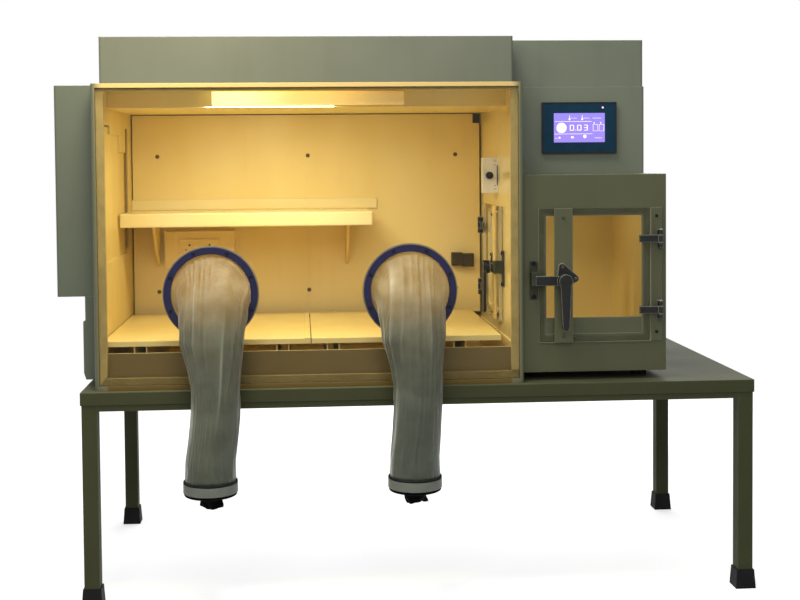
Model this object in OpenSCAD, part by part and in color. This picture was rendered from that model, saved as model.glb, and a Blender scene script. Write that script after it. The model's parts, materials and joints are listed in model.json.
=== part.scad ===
// Laboratory glove box: a lit, gas-tight chamber with two glove ports, a side housing for the air
// circulation, an airlock with an outer and an inner door, and a control box, all on a steel stand.
// Millimetres, +Z up, front towards -Y, origin on the floor under the middle of the whole object.

/* [Stand] */
// Width of the stand top
stand_w = 1515; // [1480:5:1700]
// Depth of the stand top
stand_d = 692; // [680:2:800]
// Height of the stand top above the floor
stand_h = 480; // [440:5:800]
// Sheet thickness of the folded top
top_sheet = 2; // [1.5:0.5:3]
// Height of the turned-down lip
top_lip = 28; // [20:1:36]
// Side of the square leg tube
leg_size = 34; // [30:1:45]
// Wall of the leg and rail tube
tube_wall = 2; // [1.5:0.5:3]
// Height of the rails between the legs
rail_h = 40; // [30:1:60]
// Height of a rubber foot
foot_h = 43; // [30:1:60]
// Rubber around and under the leg end
foot_wall = 6; // [4:0.5:8]

/* [Chamber] */
// Width of the front frame and chamber
chamber_w = 960; // [930:5:1000]
// Height of the chamber above the stand top
chamber_h = 680; // [660:5:720]
// Depth from the frame's front face to the outside of the rear wall
chamber_d = 626; // [610:2:640]
// Left edge of the frame from the stand's left edge
chamber_x = 30; // [10:1:60]
// Front face of the frame behind the stand's front edge
chamber_y = 20; // [14:1:30]
// Thickness of the side walls
wall = 10; // [8:1:14]
// Thickness of the rear wall
rear_wall = 6; // [4:1:10]
// Air space between back panel and rear wall
plenum = 34; // [25:1:45]
// Drop of the ceiling below the roof of the lamp cove
ceiling_drop = 46; // [42:1:60]
// Sheet thickness of roof, pan, trays and shelf
sheet = 3; // [2:0.5:4]
// Depth of the raised lamp cove behind the frame
cove_d = 170; // [140:5:220]
// Height of the base pan's upstand
pan_h = 80; // [60:1:86]
// Height of the work surface above the stand top
work_h = 104; // [98:1:108]
// Depth of a tray's turned-down lip
tray_lip = 12; // [8:1:14]

/* [Front window] */
// Depth of the frame section
frame_d = 22; // [20:1:30]
// Radius of the frame's outer vertical edges
frame_round = 8; // [4:1:9]
// Width of the posts
post_w = 27; // [24:1:36]
// Height of the header
header_h = 16; // [14:1:24]
// Height of the sill
sill_h = 26; // [22:1:36]
// Width of the front lip around the window
frame_lip = 10; // [8:1:12]
// Set-back of the window behind the frame's front face
window_inset = 2; // [1:0.5:4]
// Thickness of the window
window_t = 6; // [5:0.5:8]
// Thickness of the window gasket
gasket_t = 3; // [2:0.5:4]

/* [Glove ports] */
// Distance between the two ports
port_spacing = 444; // [400:2:480]
// Height of the port centres above the stand top
port_h = 213; // [200:1:260]
// Outer diameter of the clamp ring
ring_od = 208; // [196:1:230]
// Inner diameter of the clamp ring
ring_id = 177; // [160:1:180]
// Thickness of the clamp ring
ring_t = 8; // [6:1:10]
// Thickness of the pale flange behind the ring
flange_t = 2; // [1.5:0.5:3]
// Width of the flange outside the ring
flange_edge = 3; // [2:0.5:5]
// Number of screws in a ring
ring_screws = 8; // [6:1:12]
// Radius of a screw head
screw_r = 3.5; // [2.5:0.5:4]
// Height of a screw head
screw_t = 2; // [1:0.5:3]

/* [Sleeves] */
// Wall of the sleeve film
sleeve_t = 2; // [1.5:0.5:3]
// Width of the sleeve where it has turned down
sleeve_top_w = 142; // [130:1:160]
// Front-to-back size of the sleeve where it has turned down
sleeve_top_d = 104; // [90:1:112]
// Width of the sleeve at its waist
sleeve_waist = 99; // [90:1:120]
// Share of the hanging length at which the waist lies
waist_at = 0.66; // [0.5:0.01:0.75]
// Length that hangs below the bend, down to the cuff
sleeve_drop = 303; // [250:1:340]
// Sideways sway of the left sleeve
sway_left = 12; // [-20:1:20]
// Sideways sway of the right sleeve
sway_right = -5; // [-20:1:20]
// Number of main folds round a sleeve
sleeve_folds = 6; // [5:1:8]
// Depth of the folds as a share of the radius
fold_depth = 0.055; // [0.02:0.005:0.08]
// Diameter of the sleeve on the cuff ring
cuff_d = 109; // [104:1:120]
// Height of the hard cuff ring
cuff_h = 20; // [14:1:26]
// Thickness of the black rubber rim under the cuff ring
rim_t = 9; // [6:1:12]
// Diameter of the rubber wrist opening
wrist_d = 49; // [44:1:70]
// Length of the rubber wrist tube
wrist_l = 26; // [18:1:40]
// Thickness of the O-ring
o_ring_d = 4; // [3:0.5:6]

/* [Inside] */
// Length of the lamp diffuser
lamp_l = 450; // [400:10:600]
// Height of the lamp diffuser
lamp_h = 32; // [26:1:34]
// Depth of the lamp diffuser
lamp_d = 28; // [22:1:34]
// Length of the shelf from the left wall
shelf_l = 630; // [560:5:640]
// Depth of the shelf
shelf_d = 229; // [180:1:260]
// Height of the shelf above the stand top
shelf_h = 378; // [370:1:420]
// Height of the shelf's front lip
shelf_lip = 34; // [24:1:40]
// Height of the shelf's back rail
shelf_rail_h = 29; // [20:1:36]
// Length of the back rail past the shelf's end
shelf_rail_over = 26; // [10:1:30]
// Thickness of a shelf bracket
bracket_w = 7; // [4:1:12]
// Reach of a shelf bracket from the back panel
bracket_reach = 140; // [110:5:180]
// Drop of a shelf bracket below the shelf
bracket_drop = 146; // [110:2:160]
// Height of a bracket's front edge
bracket_lip = 18; // [10:1:30]
// Radius of a bracket's curved lower edge
bracket_round = 257; // [200:1:400]
// Left bracket from the shelf's left end
bracket_left = 68; // [40:1:100]
// Right bracket from the shelf's right end
bracket_right = 61; // [40:1:100]
// Width of the socket box
socket_box_w = 186; // [150:1:220]
// Depth of the socket box
socket_box_d = 26; // [20:1:36]
// Height of the socket box
socket_box_h = 96; // [80:1:110]
// Width of the socket plate
socket_plate_w = 106; // [100:1:130]
// Thickness of the socket plate
socket_plate_t = 4; // [3:0.5:6]
// Height of the socket plate
socket_plate_h = 54; // [48:1:70]
// Middle of the sockets from the left wall
socket_in = 180; // [150:1:250]
// Drop of the sockets below the shelf
socket_drop = 100; // [90:1:120]
// Distance between the two sockets
socket_pitch = 53; // [45:1:56]
// Gap between the two trays
tray_gap = 2; // [1:0.5:8]
// Width of the raised strip on the left tray beside the joint
joint_strip_w = 13; // [8:1:20]
// Height of that strip
joint_strip_h = 1.5; // [0.5:0.5:1.5]
// Space between the right tray and the right wall
tray_end_gap = 36; // [20:1:60]
// Space in front of the trays
tray_front_gap = 18; // [10:1:30]
// Space behind the trays
tray_back_gap = 40; // [30:1:60]
// Width of a tray bearer
bearer_w = 30; // [20:1:40]
// Bearer centres from the chamber's left edge
bearer_x = [95, 415, 530, 820]; // [60:1:860]
// Width of the thermostat, out from the wall
thermostat_w = 37; // [30:1:44]
// Depth of the thermostat along the wall
thermostat_d = 40; // [30:1:50]
// Height of the thermostat
thermostat_h = 88; // [70:1:100]
// Set-back of the thermostat behind the frame
thermostat_set = 273; // [220:1:300]
// Height of the thermostat's knob above the stand top
thermostat_up = 467; // [455:1:500]
// Diameter of the thermostat knob
knob_d = 18; // [14:1:24]
// Length of the thermostat knob
knob_l = 12; // [8:1:16]
// Width of a sensor block
sensor_w = 29; // [20:1:36]
// Depth of a sensor block
sensor_d = 25; // [16:1:32]
// Height of a sensor block
sensor_h = 35; // [25:1:45]
// Left edge of the sensor blocks from the right wall
sensor_in = 84; // [75:1:110]
// Height of the sensor blocks above the stand top
sensor_up = 221; // [200:1:260]

/* [Side housing and canopy] */
// Width of the side housing
side_w = 92; // [84:1:110]
// Height of the side housing's underside above the stand top
side_low = 204; // [190:1:230]
// Set-back of the side housing behind the frame's front
side_set = 69; // [50:1:90]
// Depth of the side housing
side_d = 511; // [480:1:550]
// Sheet thickness of the housings
skin = 2.5; // [2:0.5:4]
// Radius of the housings' outer edges
skin_round = 6; // [4:0.5:9]
// Thickness of the lower side panel
lower_panel_t = 30; // [20:1:40]
// Thickness of the lower side cover
lower_cover_t = 5; // [4:0.5:8]
// Height of the lower side cover
lower_cover_h = 132; // [110:1:150]
// Height of the lower side panel above the stand top
lower_panel_low = 15; // [8:1:25]
// Length of the return-air opening along the wall
return_l = 382; // [350:2:420]
// Front end of that opening behind the side housing's front
return_set = 41; // [30:1:60]
// Height of the return-air opening
return_h = 320; // [280:5:335]
// Lower edge of the return-air opening above the stand top
return_low = 274; // [260:2:290]
// Depth of the plate that closes the opening behind the wall's face
return_depth = 5; // [3:0.5:7]
// Air slot round that plate
return_gap = 4; // [3:0.5:8]
// Length of the cover at the opening's upper rear
cover_l = 101; // [60:1:120]
// Height of that cover
cover_h = 62; // [50:1:80]
// Length of the cover's arm towards the front
cover_arm_l = 160; // [100:5:180]
// Height of that arm
cover_arm_h = 20; // [12:1:30]
// Set-back of the canopy behind the frame's front
canopy_set = 128; // [100:1:160]
// Height of the canopy
canopy_h = 115; // [90:1:140]
// Radius of the fan impeller
fan_r = 62; // [50:1:80]
// Number of fan blades
fan_blades = 24; // [16:1:32]
// Length of the fan motor
motor_l = 30; // [24:1:36]
// Radius of the fan motor
motor_r = 45; // [35:1:55]
// Height of the catalyst box
catalyst_h = 80; // [60:1:100]
// Space at each end of the catalyst box
catalyst_end = 70; // [40:1:100]

/* [Airlock] */
// Width of the airlock
airlock_w = 334; // [320:2:380]
// Height of the airlock
airlock_h = 451; // [430:1:470]
// Depth of the airlock
airlock_d = 486; // [480:2:540]
// Set-back of the airlock behind the stand's front edge
airlock_y = 45; // [42:1:60]
// Height of the airlock above the stand top
airlock_low = 19; // [12:1:30]
// Thickness of the airlock walls
airlock_t = 4; // [3:0.5:6]

/* [Doors] */
// Width of a door panel
door_w = 258; // [250:1:270]
// Height of the outer door panel
outer_door_h = 306; // [296:1:312]
// Height of the inner door panel
inner_door_h = 280; // [270:1:290]
// Underside of the outer door above the stand top
outer_door_low = 88; // [80:1:100]
// Room between the inner door and the work surface
inner_door_room = 8; // [5:1:12]
// Thickness of a door panel
door_t = 8; // [6:0.5:9]
// Overlap of a door on its wall
door_lap = 18; // [12:1:22]
// Thickness of the door seal
seal_t = 3; // [2:0.5:4]
// Width of the door seal
seal_w = 10; // [8:1:12]
// Distance of a hinge axis in front of the wall
hinge_stand = 17; // [16.5:0.5:22]
// Distance from the hinge axis to the door's edge
hinge_reach = 21; // [19:0.5:26]
// Distance between a door's two hinges
hinge_pitch = 163; // [120:1:190]
// Height of a hinge barrel
barrel_h = 42; // [36:1:50]
// Radius of a hinge barrel
barrel_r = 5; // [4.5:0.5:6]
// Radius of a hinge pin
pin_r = 2.5; // [2:0.5:3]
// Radial clearance of a hinge pin, spindle or shaft
run_fit = 0.05; // [0.02:0.01:0.1]
// Height of a hinge arm
hinge_arm_h = 17; // [12:1:20]
// Length of a hinge arm on the door
hinge_arm_l = 28; // [20:1:40]
// Width of the strip that carries the hinges
hinge_strip_w = 24; // [20:1:26]
// Thickness of bars, strips and plates on the doors
plate_t = 4; // [3:0.5:5]
// Width of the bar that carries the latch
bar_w = 42; // [36:1:50]
// Distance from the hinge axis to the latch spindle
latch_reach = 224; // [215:1:232]
// Drop of the latch below the middle of the door
latch_drop = 11; // [0:1:20]
// Length of the latch lever from its spindle
lever_l = 113; // [90:1:120]
// Radius of the lever's boss
boss_r = 16; // [12:1:18]
// Thickness of the lever
lever_t = 9; // [7:0.5:12]
// Height of the latch arm
arm_h = 22; // [16:1:26]
// Thickness of the latch arm
arm_t = 6; // [5:0.5:8]
// Radius of the latch spindle
spindle_r = 6; // [4:0.5:7]
// Width of a keeper
keeper_w = 18; // [15:1:22]
// Height of a keeper
keeper_h = 87; // [70:1:100]
// How far the latch arm's nose lies inside the keeper
nose_in = 9; // [6:0.5:12]

/* [Control box] */
// Set-back of the control box behind the stand's front edge
control_y = 226; // [180:2:260]
// Height of the control box's lower case
control_low_h = 210; // [190:1:240]
// Height of the control box's upper case
control_top_h = 113; // [90:1:140]
// Set-back of the upper case
control_step = 11; // [6:1:20]
// Width of the screen's bezel
bezel_w = 182; // [160:1:200]
// Height of the screen's bezel
bezel_h = 123; // [110:1:140]
// Thickness of the bezel in front of the case
bezel_t = 8; // [5:1:12]
// Width of the lit screen
screen_w = 125; // [110:1:140]
// Height of the lit screen
screen_h = 71; // [60:1:80]
// Radius of a gas spigot
spigot_r = 5; // [4:0.5:8]
// Length of a gas spigot
spigot_l = 20; // [14:1:30]
// Distance between gas spigots
spigot_pitch = 50; // [40:1:60]

/* [Hidden] */
$fn = 48;

// Clearance of soft pieces and moving faces
gap = 0.3;
// Depth that a cut reaches past the face it opens
over = 1;
// Clearance of the stand's lip round its frame
lip_gap = 0.5;
// Space between the hanging sleeves and the stand's front edge
sleeve_gap = 8;
// Pinch of the bend under a port, below the ring's bore
bend_pinch = 8;
// Least width of the frame behind its lip
frame_least = 6;
// Thickness of the roof sheet
roof_sheet = 6;

paint = [0.55, 0.57, 0.49];
cream = [0.90, 0.80, 0.58];
dark = [0.25, 0.26, 0.27];
navy = [0.10, 0.11, 0.33];
black = [0.05, 0.05, 0.05];
clear = [0.85, 0.90, 0.88, 0.3];
film = [0.85, 0.85, 0.80, 0.7];

// Overall extents, from which the origin is placed
leg_in = top_sheet + lip_gap;
foot_out = foot_wall - leg_in;
left_end = min(-foot_out, chamber_x - side_w);
right_end = stand_w + foot_out;
cuff_rim_r = cuff_d / 2 + gap + o_ring_d;
cuff_y = -sleeve_gap - cuff_rim_r;
front_end = cuff_y - cuff_rim_r;
back_end = stand_d + foot_out;

// Chamber faces
frame_x1 = chamber_x + chamber_w;
in_x0 = chamber_x + wall;
in_x1 = frame_x1 - wall;
frame_back = chamber_y + frame_d;
rear_y = chamber_y + chamber_d;
panel_y = rear_y - rear_wall - plenum - sheet;
deck = stand_h;
roof_z = deck + chamber_h;
ceiling_z = roof_z - ceiling_drop;
cove_y = frame_back + cove_d;
middle_x = chamber_x + chamber_w / 2;
work_z = deck + work_h;
tray_z = work_z - tray_lip;

// Window
window_y = chamber_y + window_inset;
opening_x0 = chamber_x + post_w;
opening_x1 = frame_x1 - post_w;
opening_z0 = deck + sill_h;
opening_z1 = roof_z - header_h;
lip_side = min(frame_lip, post_w - frame_least, header_h - frame_least, sill_h - frame_least);

// Ports
port_z = deck + port_h;
port_x = [middle_x - port_spacing / 2, middle_x + port_spacing / 2];
flange_y = window_y - flange_t;
ring_y = flange_y - ring_t;
bore_r = ring_id / 2;
screw_pcr = (ring_od + ring_id) / 4;

// Sleeves
mouth_r = bore_r - gap;
pivot_y = ring_y;
pivot_z = port_z - mouth_r - bend_pinch;
bend_in = ring_y + sleeve_gap;
cuff_top = pivot_z - sleeve_drop;
cuff_grip = 12;
cuff_wall = 4;
cuff_r = cuff_d / 2;
collar_r = cuff_r - sleeve_t - gap;

// Airlock and doors
airlock_x0 = frame_x1;
airlock_x1 = airlock_x0 + airlock_w;
airlock_z0 = deck + airlock_low;
airlock_z1 = airlock_z0 + airlock_h;
airlock_y1 = airlock_y + airlock_d;
strip_edge = 12;
strip_gap = 3;
outer_axis = [airlock_x1 - strip_edge - barrel_r, airlock_y - hinge_stand];
inner_axis = [in_x1 - hinge_stand, airlock_y1 - strip_edge + airlock_t];
outer_low = deck + outer_door_low;
inner_low = work_z + inner_door_room;
outer_mid = outer_low + outer_door_h / 2;
inner_mid = inner_low + inner_door_h / 2;
// Faces of a door set, measured from its hinge axis towards the wall
seal_f = hinge_stand - seal_t;
door_f = seal_f - gap - door_t;
plate_f = door_f - plate_t;
base_f = plate_f - plate_t;
arm_f = base_f - gap - arm_t;
lever_f = arm_f - 2 * lever_t;
boss_h = arm_f - lever_f;
door_far = hinge_reach + door_w;
keeper_gap = 2;
keeper_u = door_far + keeper_gap;
nose_u = keeper_u + nose_in;

// Control box
control_z0 = airlock_z1;
control_z1 = control_z0 + control_low_h;
control_z2 = control_z1 + control_top_h;
control_x1 = airlock_x1;
control_back = airlock_y1;
screen_off = 6;
screen_x = (airlock_x0 + control_x1) / 2 + screen_off;
screen_z = control_z0 + control_low_h / 2 + screen_off;

// Side housing
side_x = chamber_x - side_w;
side_y = chamber_y + side_set;
side_z0 = deck + side_low;
side_y1 = side_y + side_d;
fan_y = side_y + side_d / 2;
fan_rise = 40;
fan_z = (side_z0 + roof_z) / 2 + fan_rise;
return_y = side_y + return_set;
return_z = deck + return_low;
return_z1 = return_z + return_h;
shaft_r = 4;
fan_gap = 3;
fan_clear = 5.5;
fan_x = side_x + skin + motor_l;
// The impeller fills the space between its motor and the plate in the opening
fan_w = in_x0 - return_depth - sheet - fan_clear - fan_x - fan_gap;

// A box between two corners
module slab(low, high) {
  translate(low)
    cube(high - low);
}

// A flat shape with four round corners, its low corner at the origin
module rounded(w, h, r) {
  translate([r, 0]) square([w - 2 * r, h]);
  translate([0, r]) square([w, h - 2 * r]);
  for (x = [r, w - r], y = [r, h - r])
    translate([x, y]) circle(r);
}

// A flat shape with round corners at its low-y side only
module front_rounded(w, d, r) {
  translate([0, r]) square([w, d - r]);
  translate([r, 0]) square([w - 2 * r, d]);
  for (x = [r, w - r])
    translate([x, r]) circle(r);
}

// A cylinder lying along +Y
module rod_y(r, l) {
  rotate([-90, 0, 0])
    cylinder(r = r, h = l);
}

// A cylinder lying along +X
module rod_x(r, l) {
  rotate([0, 90, 0])
    cylinder(r = r, h = l);
}

// The whole object, moved so that its floor middle is the origin
module placed() {
  translate([-(left_end + right_end) / 2, -(front_end + back_end) / 2, 0])
    children();
}

// The outer door set, and the inner set on the chamber's right wall
module at_outer() {
  translate([outer_axis.x, outer_axis.y, 0])
    children();
}

module at_inner() {
  translate([inner_axis.x, inner_axis.y, 0])
    mirror([1, -1, 0])
      children();
}

module stand_top() {
  color(paint)
    difference() {
      slab([0, 0, deck - top_lip], [stand_w, stand_d, deck]);
      slab([top_sheet, top_sheet, deck - top_lip - over],
        [stand_w - top_sheet, stand_d - top_sheet, deck - top_sheet]);
    }
}

// Low corners of the four legs
function leg_places() = [for (x = [leg_in, stand_w - leg_in - leg_size],
  y = [leg_in, stand_d - leg_in - leg_size]) [x, y]];

module stand_legs() {
  color(paint)
    for (p = leg_places())
      translate([p.x, p.y, foot_wall])
        difference() {
          cube([leg_size, leg_size, deck - top_sheet - foot_wall]);
          translate([tube_wall, tube_wall, -over])
            cube([leg_size - 2 * tube_wall, leg_size - 2 * tube_wall, deck]);
        }
}

// A rail tube along X
module rail_tube(l) {
  translate([0, 0, deck - top_sheet - rail_h])
    difference() {
      cube([l, leg_size, rail_h]);
      translate([-over, tube_wall, tube_wall])
        cube([l + 2 * over, leg_size - 2 * tube_wall, rail_h - 2 * tube_wall]);
    }
}

module stand_rails() {
  long = stand_w - 2 * leg_in - 2 * leg_size;
  short = stand_d - 2 * leg_in - 2 * leg_size;
  color(paint) {
    for (y = [leg_in, stand_d - leg_in - leg_size])
      translate([leg_in + leg_size, y, 0])
        rail_tube(long);
    for (x = [leg_in + leg_size, stand_w - leg_in])
      translate([x, leg_in + leg_size, 0])
        rotate(90)
          rail_tube(short);
  }
}

module stand_feet() {
  outer = leg_size + 2 * foot_wall;
  color(black)
    for (p = leg_places())
      translate([p.x + leg_size / 2, p.y + leg_size / 2, 0])
        difference() {
          linear_extrude(foot_h, scale = 1 - foot_wall / outer)
            square(outer, center = true);
          translate([0, 0, foot_wall + foot_h / 2])
            cube([leg_size, leg_size, foot_h], center = true);
        }
}

module chamber_base() {
  color(paint)
    difference() {
      slab([in_x0, frame_back, deck], [in_x1, rear_y - rear_wall, deck + pan_h]);
      slab([in_x0 + sheet, frame_back + sheet, deck + sheet],
        [in_x1 - sheet, rear_y - rear_wall - sheet, deck + pan_h + over]);
    }
}

// Plate that stands in the return-air opening and leaves a slot in front, behind and above for the air
module return_plate() {
  x1 = in_x0 - return_depth;
  slab([x1 - sheet, return_y + return_gap, return_z - sheet],
    [x1, return_y + return_l - return_gap, return_z1 - return_gap]);
}

// Wall with the return-air opening, its plate, and a cover with an arm along the opening's upper edge
module left_wall() {
  cover_set = 20;
  cover_y1 = return_y + return_l - cover_set;
  cover_y0 = cover_y1 - cover_l;
  color(cream) {
    difference() {
      slab([chamber_x, frame_back, deck], [in_x0, rear_y - rear_wall, roof_z]);
      slab([chamber_x - over, return_y, return_z], [in_x0 + over, return_y + return_l, return_z1]);
    }
    slab([chamber_x, cover_y0, return_z1 - cover_h], [in_x0, cover_y1, return_z1]);
    slab([chamber_x, cover_y0 - cover_arm_l, return_z1 - cover_arm_h], [in_x0, cover_y0, return_z1]);
    return_plate();
  }
}

module right_wall() {
  hole_far = inner_axis.y - hinge_reach - door_lap;
  hole_near = inner_axis.y - door_far + door_lap;
  color(cream)
    difference() {
      slab([in_x1, frame_back, deck], [frame_x1, rear_y - rear_wall, roof_z]);
      slab([in_x1 - over, hole_near, inner_low + door_lap],
        [frame_x1 + over, hole_far, inner_low + inner_door_h - door_lap]);
    }
}

module rear_wall_panel() {
  color(paint)
    slab([chamber_x, rear_y - rear_wall, deck], [frame_x1, rear_y, roof_z]);
}

// One folded sheet: the lamp cove at the front, then the lower ceiling
module chamber_roof() {
  color(cream)
    translate([in_x1, 0, 0])
      rotate([90, 0, -90])
        linear_extrude(in_x1 - in_x0)
          polygon([[-frame_back, roof_z], [-cove_y, roof_z], [-cove_y, ceiling_z + roof_sheet],
            [-rear_y + rear_wall, ceiling_z + roof_sheet], [-rear_y + rear_wall, ceiling_z],
            [-cove_y + roof_sheet, ceiling_z], [-cove_y + roof_sheet, roof_z - roof_sheet],
            [-frame_back, roof_z - roof_sheet]]);
}

module front_frame() {
  color(paint)
    difference() {
      translate([chamber_x, chamber_y, deck])
        linear_extrude(chamber_h)
          front_rounded(chamber_w, frame_d, frame_round);
      slab([opening_x0, chamber_y - over, opening_z0], [opening_x1, frame_back + over, opening_z1]);
      slab([chamber_x + lip_side, chamber_y - over, deck + lip_side],
        [frame_x1 - lip_side, window_y + window_t + gasket_t, roof_z - lip_side]);
    }
}

module window_gasket() {
  color(black)
    difference() {
      slab([chamber_x + lip_side, window_y + window_t, deck + lip_side],
        [frame_x1 - lip_side, window_y + window_t + gasket_t, roof_z - lip_side]);
      slab([opening_x0, chamber_y, opening_z0], [opening_x1, frame_back, opening_z1]);
    }
}

module front_window() {
  color(clear)
    difference() {
      slab([chamber_x + lip_side, window_y, deck + lip_side],
        [frame_x1 - lip_side, window_y + window_t, roof_z - lip_side]);
      for (x = port_x)
        translate([x, window_y - over, port_z])
          rod_y(bore_r, window_t + 2 * over);
    }
}

// A ring round a port, with its front face at y
module port_disc(outer_r, y, t) {
  for (x = port_x)
    translate([x, y, port_z])
      difference() {
        rod_y(outer_r, t);
        translate([0, -over, 0])
          rod_y(bore_r, t + 2 * over);
      }
}

module port_flanges() {
  color(film)
    port_disc(ring_od / 2 + flange_edge, flange_y, flange_t);
}

module port_rings() {
  color(navy)
    port_disc(ring_od / 2, ring_y, ring_t);
}

module port_screws() {
  color(black)
    for (x = port_x, i = [0 : ring_screws - 1])
      translate([x, ring_y - screw_t, port_z])
        rotate([0, 360 / ring_screws * (i + 0.5), 0])
          translate([screw_pcr, 0, 0])
            rod_y(screw_r, screw_t);
}

// Stations of a sleeve: mouth in the ring, bend over its lower edge, then the hanging tube.
// A station is [y, z of the centre, tilt of the section, half width, half depth, fold share, sway share].
bend_steps = 6;
hang_steps = 9;
fold_bend = 0.8;
fold_swell = 0.4;
sway_bend = 0.5;

function bend_station(f) = let(
    low = bend_pinch + (bend_in - bend_pinch) * f,
    half = mouth_r + (sleeve_top_d / 2 - mouth_r) * f,
    r = low + half,
    a = 90 * f)
  [pivot_y - r * sin(a), pivot_z + r * cos(a), a, mouth_r + (sleeve_top_w / 2 - mouth_r) * f, half,
    fold_bend * f, sway_bend * f * f];

// Half size along the hanging length: from the top size to the waist, then out to the cuff
function hang_half(top, t) = t < waist_at
  ? sleeve_waist / 2 + (top - sleeve_waist / 2) * pow(1 - t / waist_at, 2)
  : sleeve_waist / 2 + (cuff_r - sleeve_waist / 2) * pow((t - waist_at) / (1 - waist_at), 2);

function hang_station(t) = let(top_y = pivot_y - bend_in - sleeve_top_d / 2)
  [top_y + (cuff_y - top_y) * t, pivot_z - (sleeve_drop - cuff_grip) * t, 90,
    hang_half(sleeve_top_w / 2, t), hang_half(sleeve_top_d / 2, t),
    fold_bend * (1 - pow(t, 6)) + fold_swell * sin(180 * t), sway_bend * (1 + sin(180 * t) - t)];

stations = concat(
  [[ring_y + ring_t - gap, port_z, 0, mouth_r, mouth_r, 0, 0]],
  [for (i = [0 : bend_steps]) bend_station(i / bend_steps)],
  [for (i = [1 : hang_steps]) hang_station(i / hang_steps)],
  [[cuff_y, cuff_top, 90, cuff_r, cuff_r, 0, 0]]);

sleeve_sides = 34;
// Turn of the folds and of the oval that they ride on, and the oval's share
fold_turn = 40;
oval_turn = 130;
oval_share = 0.4;
fold_inward = 0.8;

// One ring of points of a sleeve, drawn in by a wall
function sleeve_ring(s, sway, inset) = [for (k = [0 : sleeve_sides - 1]) let(
    a = 360 * k / sleeve_sides,
    fold = cos(sleeve_folds * a + fold_turn) + oval_share * cos(2 * a + oval_turn) - fold_inward,
    wave = 1 + fold_depth * s[5] * fold,
    u = (s[3] * wave - inset) * cos(a),
    v = (s[4] * wave - inset) * sin(a))
  [u + sway * s[6], s[0] - v * sin(s[2]), s[1] + v * cos(s[2])]];

module sleeve(sway) {
  n = sleeve_sides;
  m = len(stations);
  points = concat(
    [for (s = stations) each sleeve_ring(s, sway, 0)],
    [for (s = stations) each sleeve_ring(s, sway, sleeve_t)]);
  inner = n * m;
  last = n * (m - 1);
  faces = concat(
    [for (j = [0 : m - 2], k = [0 : n - 1]) let(a = j * n + k, b = j * n + (k + 1) % n)
      each [[a, b, b + n], [a, b + n, a + n]]],
    [for (j = [0 : m - 2], k = [0 : n - 1]) let(a = inner + j * n + k, b = inner + j * n + (k + 1) % n)
      each [[a, b + n, b], [a, a + n, b + n]]],
    [for (k = [0 : n - 1]) let(a = k, b = (k + 1) % n)
      each [[a, inner + b, b], [a, inner + a, inner + b]]],
    [for (k = [0 : n - 1]) let(a = last + k, b = last + (k + 1) % n)
      each [[a, b, inner + b], [a, inner + b, inner + a]]]);
  color(film)
    polyhedron(points, faces);
}

module sleeve_left() {
  translate([port_x[0], 0, 0])
    sleeve(sway_left);
}

module sleeve_right() {
  translate([port_x[1], 0, 0])
    sleeve(sway_right);
}

// Hard ring at the sleeve's end, with a collar inside the sleeve
module cuff_rings() {
  color("gray")
    for (x = port_x)
      translate([x, cuff_y, cuff_top])
        rotate_extrude()
          polygon([[collar_r - cuff_wall, -gap - cuff_h], [cuff_rim_r, -gap - cuff_h], [cuff_rim_r, -gap],
            [collar_r, -gap], [collar_r, cuff_grip], [collar_r - cuff_wall, cuff_grip]]);
}

module cuff_o_rings() {
  color(black)
    for (x = port_x)
      translate([x, cuff_y, cuff_top + o_ring_d / 2])
        rotate_extrude()
          translate([cuff_r + gap + o_ring_d / 2, 0])
            circle(d = o_ring_d);
}

// Rubber rim with a drawn-in wrist tube
module wrist_cuffs() {
  rubber = 2.5;
  rim_low = -gap - cuff_h - rim_t;
  rim_r = cuff_rim_r - 1;
  inner_r = wrist_d / 2 - rubber;
  bore = collar_r - cuff_wall;
  color(black)
    for (x = port_x)
      translate([x, cuff_y, cuff_top])
        rotate_extrude()
          polygon([[inner_r, rim_low - wrist_l], [wrist_d / 2, rim_low - wrist_l], [wrist_d / 2, rim_low],
            [cuff_rim_r - rubber, rim_low], [rim_r, rim_low + rim_t / 2], [rim_r, -gap - cuff_h],
            [bore, -gap - cuff_h], [bore, rim_low + rubber], [inner_r, rim_low + rubber]]);
}

panel_low = 94;
panel_gap_left = 3;
panel_gap_right = 5;
panel_x0 = in_x0 + panel_gap_left;
panel_x1 = in_x1 - panel_gap_right;
notch = [18, 28];
fixing_in = [66, 112];

module back_panel() {
  color(cream)
    difference() {
      slab([panel_x0, panel_y, deck + panel_low], [panel_x1, panel_y + sheet, ceiling_z - gap]);
      slab([panel_x1 - notch.x, panel_y - over, ceiling_z - notch.y],
        [panel_x1 + over, panel_y + sheet + over, ceiling_z + over]);
    }
}

// Standoffs behind the panel with their screw heads in front of it
module back_panel_fixings() {
  head_r = screw_r + 1;
  color(dark)
    for (x = [panel_x0 + fixing_in.x, middle_x, panel_x1 - fixing_in.x],
      z = [ceiling_z - fixing_in.y, deck + panel_low + fixing_in.x]) {
      translate([x, panel_y + sheet, z])
        rod_y(2 * screw_r, plenum);
      translate([x, panel_y - screw_t, z])
        rod_y(head_r, screw_t);
    }
}

lamp_z = ceiling_z + (ceiling_drop - roof_sheet) / 2;
lamp_y = cove_y - roof_sheet;
lamp_base_t = 6;
tube_r = 8;

module lamp_base() {
  color("white")
    slab([middle_x - lamp_l / 2, lamp_y - lamp_base_t, lamp_z - lamp_h / 2],
      [middle_x + lamp_l / 2, lamp_y, lamp_z + lamp_h / 2]);
}

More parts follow.
